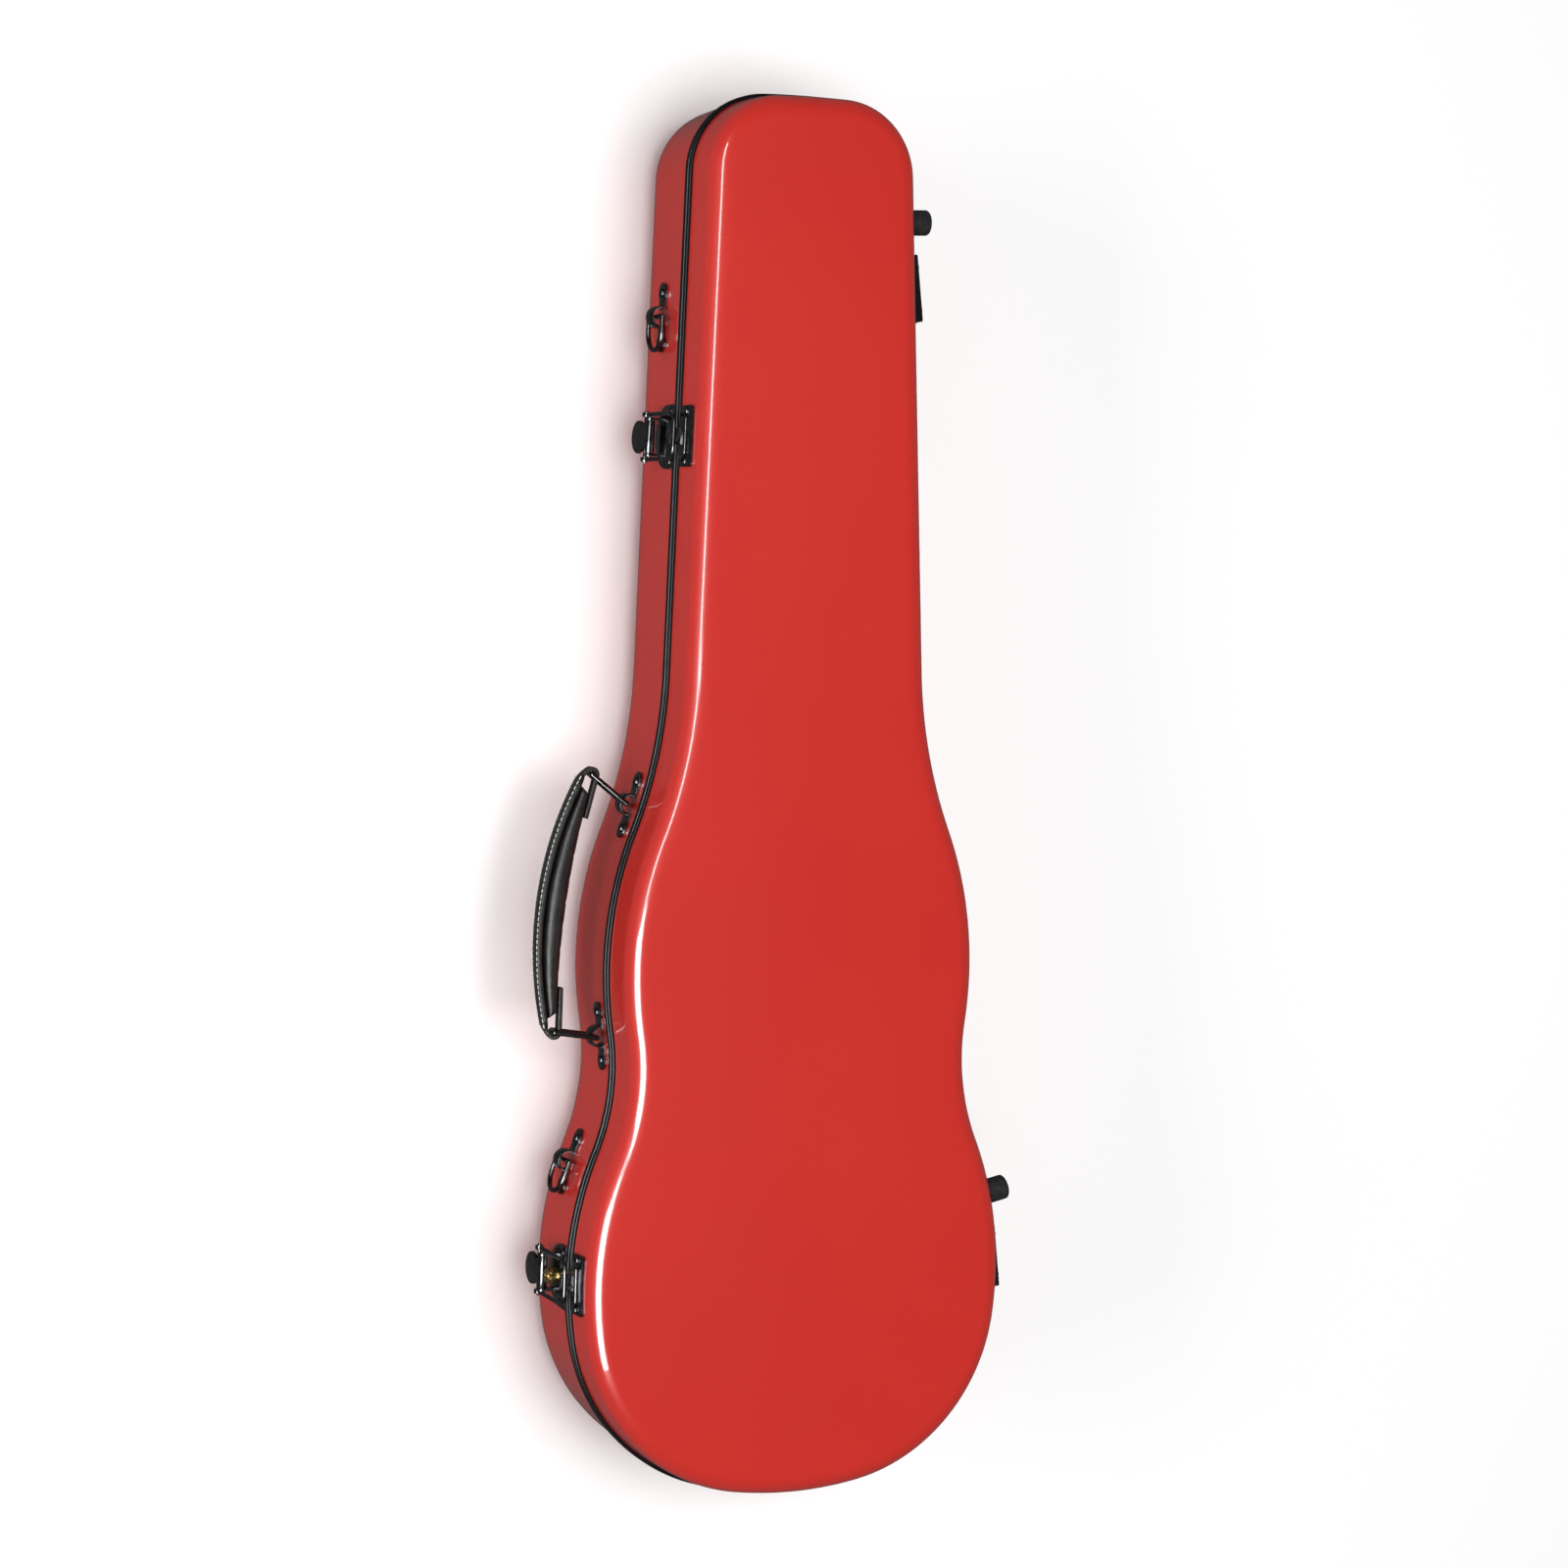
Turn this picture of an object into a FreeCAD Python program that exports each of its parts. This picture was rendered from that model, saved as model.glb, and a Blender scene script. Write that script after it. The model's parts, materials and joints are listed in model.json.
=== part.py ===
import FreeCAD
import Part
import Sketcher
import math
import os
from FreeCAD import Placement, Rotation, Vector

# Violin case, moulded to the shape of the instrument, lying on its base shell.
# +Z up (the lid's normal), +Y towards the neck end, +X towards the hinges.
# Origin: the centre of the flat underside.

DIMENSIONS = [
    ("case_length", 790.0),
    ("base_depth", 81.0),
    ("lid_depth", 34.0),
    ("wall", 2.5),
    ("base_draft", 2.0),
    ("lid_draft", 3.5),
    ("base_edge_radius", 30.0),
    ("lid_edge_radius", 11.5),
    ("crown_radius", 2200.0),
    ("end_radius", 229.0),
    ("lower_corner_radius", 108.2),
    ("lower_bout_radius", 198.5),
    ("waist_radius", 127.0),
    ("upper_bout_radius", 213.5),
    ("shoulder_radius", 269.0),
    ("neck_corner_radius", 44.2),
    ("rim_height", 3.4),
    ("rim_proud", 1.6),
    ("gasket_height", 0.8),
    ("fit_gap", 0.4),
    ("lining_thickness", 3.0),
    ("bed_drop", 6.0),
    ("recess_floor", 9.0),
    ("lower_recess_radius", 107.0),
    ("upper_recess_radius", 88.0),
    ("waist_recess_width", 138.0),
    ("neck_recess_width", 50.0),
    ("scroll_recess_width", 66.0),
    ("box_width", 92.0),
    ("box_length", 116.0),
    ("box_panel", 3.0),
    ("plate_thickness", 1.5),
    ("rivet_radius", 2.6),
    ("rivet_height", 1.3),
    ("latch_width", 36.0),
    ("latch_pivot_drop", 27.0),
    ("latch_pivot_height", 6.2),
    ("latch_throw", 7.5),
    ("latch_pin_radius", 1.2),
    ("knuckle_radius", 2.6),
    ("lever_width", 18.0),
    ("lever_thickness", 2.0),
    ("thumb_tab_radius", 9.3),
    ("bail_wire_radius", 1.2),
    ("bail_half_width", 12.6),
    ("bail_reach", 42.5),
    ("running_gap", 0.05),
    ("link_wire_radius", 1.5),
    ("link_width", 16.0),
    ("saddle_width", 9.0),
    ("saddle_arch_radius", 5.0),
    ("saddle_thickness", 1.3),
    ("ring_wire_radius", 1.4),
    ("ring_half_width", 10.5),
    ("grip_width", 22.0),
    ("strap_thickness", 2.6),
    ("foot_radius", 7.2),
    ("foot_height", 12.0),
    ("hinge_pin_radius", 1.1),
    ("hinge_knuckle_radius", 2.3),
    ("hinge_stand_off", 4.5),
    ("hinge_length", 38.0),
]

# The outline's arcs, from the middle of the lower end up one side: radius name,
# and how far the outline turns along the arc (a waist turns the other way).
SIDE_ARCS = [
    ("end_radius", 9.43),
    ("lower_corner_radius", 72.17),
    ("lower_bout_radius", 31.0),
    ("waist_radius", -31.38),
    ("upper_bout_radius", 30.52),
    ("shoulder_radius", -19.58),
]
TOP_SWEEP = 2.0

doc = FreeCAD.newDocument("violin_case")
sheet = doc.addObject("Spreadsheet::Sheet", "Dimensions")
for row, (alias, value) in enumerate(DIMENSIONS, 1):
    sheet.set("A%d" % row, alias)
    sheet.set("B%d" % row, str(value))
    sheet.setAlias("B%d" % row, alias)
doc.recompute()


def dim(alias):
    return float(getattr(sheet, alias))


SEAM = dim("base_depth")
GAP = dim("fit_gap")
PIECES = []


def piece(obj, label):
    """Mark a document object as one of the case's pieces."""
    obj.Label = label
    PIECES.append(obj)
    return obj


# ---------------------------------------------------------------- outline

def side_arcs():
    """One side of the outline: (centre, radius, turn sign, first and last heading)."""
    x = 0.0
    y = 0.0
    heading = 0.0
    arcs = []

    def arc(x, y, heading, radius, sweep):
        turn = 1 if sweep > 0 else -1
        centre = Vector(x - turn * radius * math.sin(heading), y + turn * radius * math.cos(heading), 0)
        last = heading + math.radians(sweep)
        arcs.append((centre, radius, turn, heading, last))
        end = centre + Vector(math.sin(last), -math.cos(last), 0) * (turn * radius)
        return end.x, end.y, last

    for name, sweep in SIDE_ARCS:
        x, y, heading = arc(x, y, heading, dim(name), sweep)
    # The straight neck takes up what is left of the case's length.
    corner = dim("neck_corner_radius")
    top = math.radians(180.0 - TOP_SWEEP)
    corner_run = Vector(math.sin(top) - math.sin(heading), math.cos(heading) - math.cos(top), 0) * corner
    rise = math.tan(math.radians(TOP_SWEEP) / 2)

    def height(run):
        across = x + run * math.cos(heading) + corner_run.x
        return y + run * math.sin(heading) + corner_run.y + across * rise

    slope = height(1.0) - height(0.0)
    run = (dim("case_length") - height(0.0)) / slope
    x += run * math.cos(heading)
    y += run * math.sin(heading)
    x, y, heading = arc(x, y, heading, corner, 180.0 - TOP_SWEEP - math.degrees(heading))
    arc(x, y, heading, x / math.sin(math.radians(TOP_SWEEP)), TOP_SWEEP)
    shift = Vector(0, -dim("case_length") / 2, 0)
    return [(centre + shift, radius, turn, first, last) for centre, radius, turn, first, last in arcs]


ARCS = side_arcs()


def arc_point(arc, heading, offset):
    centre, radius, turn = arc[:3]
    outward = Vector(math.sin(heading), -math.cos(heading), 0)
    return centre + outward * (turn * radius + offset)


def outline(offset=0.0):
    """The closed outline, moved outwards by offset, as arcs and lines."""
    spans = []
    for arc in ARCS:
        first, last = arc[3], arc[4]
        points = [arc_point(arc, first + (last - first) * k / 2, offset) for k in range(3)]
        if spans and (points[0] - spans[-1][-1]).Length > 1e-6:
            spans.append([spans[-1][-1], points[0]])
        spans.append(points)
    mirrored = [[Vector(-p.x, p.y, 0) for p in reversed(span)] for span in reversed(spans)]
    geometry = []
    for span in spans + mirrored:
        if len(span) == 3:
            geometry.append(Part.Arc(*span))
        else:
            geometry.append(Part.LineSegment(*span))
    return geometry


def wall_at(y, side):
    """The wall's point and outward direction at one distance along the case."""
    for arc in ARCS:
        ends = sorted([arc_point(arc, arc[3], 0).y, arc_point(arc, arc[4], 0).y])
        if ends[0] <= y <= ends[1]:
            centre, radius, turn = arc[:3]
            across = turn * math.sqrt(radius ** 2 - (y - centre.y) ** 2)
            point = Vector(centre.x + across, y, 0)
            outward = (point - centre).normalize() * turn
            break
    else:
        start = arc_point(ARCS[5], ARCS[5][4], 0)
        heading = ARCS[5][4]
        point = start + Vector(math.cos(heading), math.sin(heading), 0) * ((y - start.y) / math.sin(heading))
        outward = Vector(math.sin(heading), -math.cos(heading), 0)
    return Vector(side * point.x, point.y, 0), Vector(side * outward.x, outward.y, 0)


def wall_frame(y, side, drop=0.0):
    """A placement on the wall: local X runs along it, Y is up, Z points outwards."""
    point, outward = wall_at(y, side)
    up = Vector(0, 0, 1)
    along = up.cross(outward)
    rotation = Rotation(along, up, outward, "XYZ")
    return Placement(point + Vector(0, 0, SEAM - drop), rotation)


# ---------------------------------------------------------------- building blocks

def new_body(name):
    return doc.addObject("PartDesign::Body", name)


def new_sketch(body, name, geometry, plane="XY_Plane", height=0.0):
    sketch = body.newObject("Sketcher::SketchObject", name)
    origin_plane = [p for p in body.Origin.OriginFeatures if p.Role == plane][0]
    sketch.AttachmentSupport = [(origin_plane, "")]
    sketch.MapMode = "FlatFace"
    sketch.AttachmentOffset = Placement(Vector(0, 0, height), Rotation())
    sketch.addGeometry(geometry, False)
    return sketch


def new_pad(body, sketch, length, reverse=False, taper=None, middle=False):
    pad = body.newObject("PartDesign::Pad", "Pad")
    pad.Profile = sketch
    pad.Reversed = reverse
    pad.Midplane = middle
    if isinstance(length, str):
        pad.setExpression("Length", length)
    else:
        pad.Length = length
    if taper:
        pad.setExpression("TaperAngle", taper)
    sketch.Visibility = False
    return pad


def new_pocket(body, sketch, length, reverse=False, middle=False):
    doc.recompute()
    before = body.Shape.Volume
    pocket = body.newObject("PartDesign::Pocket", "Pocket")
    pocket.Profile = sketch
    pocket.Reversed = reverse
    pocket.Midplane = middle
    if isinstance(length, str):
        pocket.setExpression("Length", length)
    else:
        pocket.Length = length
    doc.recompute()
    if body.Shape.Volume > before - 1e-6:
        raise RuntimeError("a pocket in %s cuts nothing" % body.Label)
    return pocket


def new_fillet(body, edges, radius):
    base = body.Tip
    fillet = body.newObject("PartDesign::Fillet", "Fillet")
    fillet.Base = (base, edges)
    if isinstance(radius, str):
        fillet.setExpression("Radius", radius)
    else:
        fillet.Radius = radius
    return fillet


def edges_where(shape, test):
    return ["Edge%d" % k for k, edge in enumerate(shape.Edges, 1) if test(edge)]


def rectangle(x0, y0, x1, y1):
    corners = [Vector(x0, y0, 0), Vector(x1, y0, 0), Vector(x1, y1, 0), Vector(x0, y1, 0)]
    return [Part.LineSegment(corners[k], corners[(k + 1) % 4]) for k in range(4)]


def circle(x, y, radius):
    return [Part.Circle(Vector(x, y, 0), Vector(0, 0, 1), radius)]


def slot(x0, y0, x1, y1, radius):
    """A straight slot's outline between two round ends."""
    first = Vector(x0, y0, 0)
    last = Vector(x1, y1, 0)
    run = (last - first).normalize() * radius
    left = Vector(-run.y, run.x, 0)
    return [
        Part.LineSegment(first - left, last - left),
        Part.Arc(last - left, last + run, last + left),
        Part.LineSegment(last + left, first + left),
        Part.Arc(first + left, first - run, first - left),
    ]


def cut(name, base, tool):
    obj = doc.addObject("Part::Cut", name)
    obj.Base = base
    obj.Tool = tool
    return obj


def common(name, base, tool):
    obj = doc.addObject("Part::Common", name)
    obj.Base = base
    obj.Tool = tool
    return obj


def fuse(name, shapes):
    obj = doc.addObject("Part::MultiFuse", name)
    obj.Shapes = shapes
    return obj


def cylinder(name, radius, length, base, direction):
    obj = doc.addObject("Part::Cylinder", name)
    for prop, value in (("Radius", radius), ("Height", length)):
        if isinstance(value, str):
            obj.setExpression(prop, value)
        else:
            setattr(obj, prop, value)
    obj.Placement = Placement(base, Rotation(Vector(0, 0, 1), direction))
    return obj


# ---------------------------------------------------------------- shells

def base_form(name, inset, lift=0.0, top=0.0, radius=None):
    """The base's form, drafted and rounded underneath, set in by inset."""
    body = new_body(name)
    sketch = new_sketch(body, name + "_outline", outline(-inset), height=SEAM - top)
    new_pad(body, sketch, "Dimensions.base_depth - %s" % (lift + top), reverse=True,
            taper="-Dimensions.base_draft")
    doc.recompute()
    low = edges_where(body.Shape, lambda e: e.BoundBox.ZMax < lift + 0.01)
    new_fillet(body, low, radius or dim("base_edge_radius") - inset)
    doc.recompute()
    return body


def lid_form(name, inset, drop=0.0, radius=None):
    """The lid's form, drafted, crowned across its width and rounded on top."""
    body = new_body(name)
    sketch = new_sketch(body, name + "_outline", outline(-inset), height=SEAM + 0.1)
    new_pad(body, sketch, "Dimensions.lid_depth", taper="-Dimensions.lid_draft")
    top = SEAM + dim("lid_depth") - drop
    crown = dim("crown_radius") - drop
    half = 160.0
    side = top - crown + math.sqrt(crown ** 2 - half ** 2)
    ceiling = top + 20.0
    low_left, low_right = Vector(-half, side, 0), Vector(half, side, 0)
    profile = [
        Part.Arc(low_left, Vector(0, top, 0), low_right),
        Part.LineSegment(low_right, Vector(half, ceiling, 0)),
        Part.LineSegment(Vector(half, ceiling, 0), Vector(-half, ceiling, 0)),
        Part.LineSegment(Vector(-half, ceiling, 0), low_left),
    ]
    sketch = new_sketch(body, name + "_crown", profile, plane="XZ_Plane")
    new_pocket(body, sketch, 2 * dim("case_length"), middle=True)
    floor = SEAM + 1.0
    high = edges_where(body.Shape, lambda e: e.BoundBox.ZMin > floor + 5)
    new_fillet(body, high, radius or dim("lid_edge_radius") - inset)
    doc.recompute()
    return body


def make_shells():
    core = base_form("base_core", dim("wall"), lift=dim("wall"))
    piece(cut("base_shell", BASE_OUTER, core), "base_shell")
    core = lid_form("lid_core", dim("wall"), drop=dim("wall"))
    piece(cut("lid_shell", LID_OUTER, core), "lid_shell")


def make_ring(label, proud, low, height):
    """A band that follows the outline just outside the wall."""
    body = new_body(label)
    rings = outline(proud) + outline(0.05)
    new_pad(body, new_sketch(body, label + "_outline", rings, height=low), height)
    doc.recompute()
    return piece(body, label)


def make_rims():
    half_gasket = dim("gasket_height") / 2
    height = dim("rim_height")
    base_rim = make_ring("base_rim", dim("rim_proud"), SEAM - half_gasket - height, height)
    lid_rim = make_ring("lid_rim", dim("rim_proud"), SEAM + half_gasket + 0.05, height)
    for rim in (base_rim, lid_rim):
        limit = dim("rim_proud") - 0.1
        edges = []
        for k, edge in enumerate(rim.Shape.Edges, 1):
            middle = edge.valueAt((edge.FirstParameter + edge.LastParameter) / 2)
            flat = edge.BoundBox.ZLength < 0.01
            if flat and not inside_outline(middle, limit):
                edges.append("Edge%d" % k)
        new_fillet(rim, edges, 0.9)
    make_ring("rim_gasket", dim("rim_proud") - 0.5, SEAM - half_gasket, dim("gasket_height"))


def inside_outline(point, offset):
    wire = Part.Wire(Part.__sortEdges__([g.toShape() for g in outline(offset)]))
    face = Part.Face(wire)
    return face.isInside(Vector(point.x, point.y, 0), 0.01, False)


# ---------------------------------------------------------------- inside the base

BOX_START = 246.0


def make_bed():
    inset = dim("wall") + GAP
    body = base_form("foam_bed", inset, lift=inset, top=dim("bed_drop"))
    top = SEAM - dim("bed_drop")
    lower_y = -262.0
    upper_y = -112.0
    depth = top - dim("recess_floor")
    half_waist = dim("waist_recess_width") / 2
    half_neck = dim("neck_recess_width") / 2
    half_scroll = dim("scroll_recess_width") / 2
    half_box = dim("box_width") / 2
    shapes = [
        circle(0, lower_y, dim("lower_recess_radius")),
        circle(0, upper_y, dim("upper_recess_radius")),
        rectangle(-half_waist, lower_y, half_waist, upper_y),
        rectangle(-half_neck, -60, half_neck, 150),
        slot(0, 120 + half_scroll, 0, 232 - half_scroll, half_scroll),
        rectangle(-half_box, BOX_START, half_box, BOX_START + dim("box_length")),
    ]
    for k, shape in enumerate(shapes):
        new_pocket(body, new_sketch(body, "recess_%d" % k, shape, height=top), depth)
    piece(body, "foam_bed")


def make_base_interior():
    floor = dim("recess_floor") + GAP
    top = SEAM - dim("bed_drop") + GAP
    for name, y, reach in (("lower_cushion", -325.0, 48.0), ("upper_cushion", -75.0, 40.0)):
        pad = new_body(name)
        new_pad(pad, new_sketch(pad, name + "_outline", slot(-reach, y, reach, y, 14.0), height=floor), 8.0)
        doc.recompute()
        new_fillet(pad, edges_where(pad.Shape, lambda e: e.BoundBox.ZMin > floor + 7), 3.0)
        piece(pad, name)

    half = dim("neck_recess_width") / 2 - GAP
    notch = 15.0
    high = 52.0
    profile = [
        Part.LineSegment(Vector(-half, floor, 0), Vector(half, floor, 0)),
        Part.LineSegment(Vector(half, floor, 0), Vector(half, high, 0)),
        Part.LineSegment(Vector(half, high, 0), Vector(notch, high, 0)),
        Part.Arc(Vector(notch, high, 0), Vector(0, high - notch, 0), Vector(-notch, high, 0)),
        Part.LineSegment(Vector(-notch, high, 0), Vector(-half, high, 0)),
        Part.LineSegment(Vector(-half, high, 0), Vector(-half, floor, 0)),
    ]
    cradle = new_body("neck_cradle")
    new_pad(cradle, new_sketch(cradle, "cradle_profile", profile, "XZ_Plane", -75.0), 36.0, middle=True)
    piece(cradle, "neck_cradle")

    strap = new_body("neck_strap")
    new_pad(strap, new_sketch(strap, "neck_strap_outline", slot(-34, 75, 34, 75, 12.5), height=top), 1.6)
    piece(strap, "neck_strap")

    lid = new_body("accessory_lid")
    edge = 51.0
    panel = rectangle(-edge, BOX_START - 4, edge, BOX_START + dim("box_length") + 4)
    new_pad(lid, new_sketch(lid, "panel_outline", panel, height=top), "Dimensions.box_panel")
    doc.recompute()
    corners = edges_where(lid.Shape, lambda e: e.BoundBox.ZLength > 1)
    new_fillet(lid, corners, 9.0)
    piece(lid, "accessory_lid")
    tab = new_body("accessory_pull_tab")
    tab_shape = slot(-edge + 2, 304, -edge + 14, 304, 7.0)
    new_pad(tab, new_sketch(tab, "tab_outline", tab_shape, height=top + dim("box_panel")), 1.2)
    piece(tab, "accessory_pull_tab")


# ---------------------------------------------------------------- inside the lid

SPINNER_Y = -285.0
SPINNER_X = 26.0


def make_lid_interior():
    outer = dim("wall") + 0.3
    inner = outer + dim("lining_thickness")
    skin = lid_form("lining_outer", outer, drop=outer)
    hollow = lid_form("lining_inner", inner, drop=inner)
    piece(cut("lid_lining", skin, hollow), "lid_lining")

    ceiling = SEAM + dim("lid_depth") - inner - 0.5
    rest = new_body("bow_rest")
    low = ceiling - 14.0
    profile = [Part.LineSegment(Vector(-44, ceiling, 0), Vector(-44, low, 0))]
    x = -44.0
    for centre in (-22.0, 22.0):
        profile.append(Part.LineSegment(Vector(x, low, 0), Vector(centre - 6, low, 0)))
        profile.append(Part.Arc(Vector(centre - 6, low, 0), Vector(centre, low + 6, 0), Vector(centre + 6, low, 0)))
        x = centre + 6
    profile += [
        Part.LineSegment(Vector(x, low, 0), Vector(44, low, 0)),
        Part.LineSegment(Vector(44, low, 0), Vector(44, ceiling, 0)),
        Part.LineSegment(Vector(44, ceiling, 0), Vector(-44, ceiling, 0)),
    ]
    new_pad(rest, new_sketch(rest, "bow_rest_profile", profile, "XZ_Plane", -330.0), 30.0, middle=True)
    piece(rest, "bow_rest")

    posts = []
    screws = []
    for side, name in ((-1, "left"), (1, "right")):
        centre = Vector(side * SPINNER_X, SPINNER_Y, 0)
        down = Vector(0, 0, -1)
        posts.append(cylinder("post_" + name, 5.5, 14.0, centre + Vector(0, 0, ceiling), down))
        spinner = new_body("bow_spinner_" + name)
        level = ceiling - 14.0 - 5.2
        shape = slot(centre.x, SPINNER_Y - 17, centre.x, SPINNER_Y + 17, 5.5) + circle(centre.x, SPINNER_Y, 1.8)
        new_pad(spinner, new_sketch(spinner, "spinner_outline_" + name, shape, height=level), 5.0)
        doc.recompute()
        new_fillet(spinner, edges_where(spinner.Shape, lambda e: e.BoundBox.ZMax < level + 0.1
                                        and e.BoundBox.YLength > 5), 1.5)
        piece(spinner, "bow_spinner_" + name)
        head = cylinder("screw_head_" + name, 3.4, 1.5, centre + Vector(0, 0, level - 0.1), down)
        shank = cylinder("screw_shank_" + name, 1.7, 9.0, centre + Vector(0, 0, level - 0.5), Vector(0, 0, 1))
        screws += [head, shank]
    drilled = cut("drilled_posts", fuse("post_pair", posts), fuse("post_bores", [
        cylinder("post_bore_%d" % side, 1.75, 6.0, Vector(side * SPINNER_X, SPINNER_Y, ceiling - 15.0),
                 Vector(0, 0, 1)) for side in (-1, 1)]))
    piece(drilled, "spinner_posts")
    piece(fuse("spinner_screws", screws), "spinner_screws")


# ---------------------------------------------------------------- latches

LATCH_Y = {"upper": 205.0, "lower": -267.0}


def local_pad(name, frame, geometry, low, length, plane="XY_Plane", middle=False, radius=None, test=None):
    """A pad made in a wall's own frame and placed there."""
    body = new_body(name)
    new_pad(body, new_sketch(body, name + "_outline", geometry, plane, low), length, middle=middle)
    doc.recompute()
    if radius:
        new_fillet(body, edges_where(body.Shape, test), radius)
    body.Placement = frame
    return body


def local_cylinder(name, frame, radius, length, base, direction):
    obj = cylinder(name, radius, length, base, direction)
    obj.Placement = frame.multiply(obj.Placement)
    return obj


def rivets(label, places, shell):
    """Domed rivet heads: (frame, x, y, height of the seat) for each."""
    heads = []
    for k, (frame, x, y, seat) in enumerate(places):
        body = new_body("%s_%d" % (label, k))
        new_pad(body, new_sketch(body, "%s_%d_outline" % (label, k),
                                 circle(x, y, dim("rivet_radius")), height=seat - 1.0),
                1.0 + dim("rivet_height"))
        doc.recompute()
        new_fillet(body, edges_where(body.Shape, lambda e: e.BoundBox.ZMin > seat + 1), 0.9)
        body.Placement = frame
        heads.append(body)
    piece(fuse(label, heads), label)


def make_latch(name):
    frame = wall_frame(LATCH_Y[name], -1)
    tag = "latch_" + name + "_"
    half = dim("latch_width") / 2
    pivot_y = -dim("latch_pivot_drop")
    pivot_z = dim("latch_pivot_height")
    pin_y = pivot_y - dim("latch_throw")
    pin_z = pivot_z - 0.5
    along = Vector(1, 0, 0)
    gap = dim("running_gap")
    pin = dim("latch_pin_radius")
    knuckle = dim("knuckle_radius")
    half_lever = dim("lever_width") / 2
    plate_top = -4.4

    # Base plate: a half moon with two ears for the lever's pivot.
    moon = [
        Part.LineSegment(Vector(half, -15, 0), Vector(half, plate_top, 0)),
        Part.LineSegment(Vector(half, plate_top, 0), Vector(-half, plate_top, 0)),
        Part.LineSegment(Vector(-half, plate_top, 0), Vector(-half, -15, 0)),
        Part.Arc(Vector(-half, -15, 0), Vector(0, -33.0, 0), Vector(half, -15, 0)),
    ]
    plate = common(tag + "plate", BASE_SKIN, local_pad(tag + "moon", frame, moon, -6.0, 12.0))
    ears = []
    for side in (-1, 1):
        ear = slot(pivot_y, -1.5, pivot_y, pivot_z, 3.2)
        low = half_lever + 0.3 if side > 0 else -half_lever - 1.8
        ears.append(local_pad(tag + "ear_%d" % (side + 1), frame, ear, low, 1.5, "YZ_Plane"))
    bore = local_cylinder(tag + "ear_bore", frame, pin + gap, 30.0, Vector(-15, pivot_y, pivot_z), along)
    solid = cut(tag + "drilled", fuse(tag + "plate_and_ears", [plate] + ears), bore)
    piece(cut(tag + "base", solid, BASE_OUTER), tag + "base")
    length = 2 * half_lever + 4.6
    piece(local_cylinder(tag + "pivot", frame, pin, length, Vector(-length / 2, pivot_y, pivot_z), along),
          tag + "pivot_pin")

    # Lever: a rolled knuckle, a flat arm and a round thumb tab.
    thick = dim("lever_thickness")
    arm_low = pivot_z + knuckle - thick
    barrel = circle(pivot_y, pivot_z, knuckle)
    arm = rectangle(pin_y - 5.0, arm_low, pivot_y, arm_low + thick)
    tab_y = pin_y - 5.5
    tab = local_pad(tag + "tab", frame, circle(0, tab_y, dim("thumb_tab_radius")), arm_low, thick,
                    radius=0.7, test=lambda e: e.BoundBox.ZMin > arm_low + thick - 0.05)
    width = 2 * half_lever
    parts = [
        local_pad(tag + "knuckle", frame, barrel, 0.0, width, "YZ_Plane", True),
        local_pad(tag + "arm", frame, arm, 0.0, width - 4.0, "YZ_Plane", True),
        local_pad(tag + "lug", frame, circle(pin_y, pin_z, 2.4), 0.0, width - 4.0, "YZ_Plane", True),
        tab,
    ]
    bores = fuse(tag + "bores", [
        local_cylinder(tag + "bore_0", frame, pin + gap, 30.0, Vector(-15, pivot_y, pivot_z), along),
        local_cylinder(tag + "bore_1", frame, pin + gap, 30.0, Vector(-15, pin_y, pin_z), along),
    ])
    piece(cut(tag + "lever", fuse(tag + "lever_solid", parts), bores), tag + "lever")
    arm_x = dim("bail_half_width")
    reach = arm_x + 2.2
    piece(local_cylinder(tag + "bail_pin", frame, pin, 2 * reach, Vector(-reach, pin_y, pin_z), along),
          tag + "bail_pin")

    # Bail: a wire loop with an eye at each end.
    wire = dim("bail_wire_radius")
    corner = 7.0
    apex = pin_y + dim("bail_reach")
    arm_length = apex - corner - (pin_y + 1.8)
    parts = []
    for side in (-1, 1):
        x = side * arm_x
        foot = Vector(x, pin_y + 1.8, pin_z)
        parts.append(local_cylinder(tag + "bail_arm_%d" % (side + 1), frame, wire, arm_length, foot,
                                    Vector(0, 1, 0)))
        eye = circle(pin_y, pin_z, 2.5) + circle(pin_y, pin_z, pin + gap)
        parts.append(local_pad(tag + "eye_%d" % (side + 1), frame, eye, x - 1.2, 2.4, "YZ_Plane"))
        bend = doc.addObject("Part::Torus", tag + "bend_%d" % (side + 1))
        bend.Radius1 = corner
        bend.Radius2 = wire
        bend.Angle3 = 90.0
        spin = Rotation(Vector(0, 0, 1), 0.0 if side > 0 else 90.0)
        centre = Vector(side * (arm_x - corner), apex - corner, pin_z)
        bend.Placement = frame.multiply(Placement(centre, spin))
        parts.append(bend)
    span = 2 * (arm_x - corner)
    parts.append(local_cylinder(tag + "bail_top", frame, wire, span,
                                Vector(-span / 2, apex, pin_z), along))
    piece(fuse(tag + "bail", parts), tag + "bail")

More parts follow.
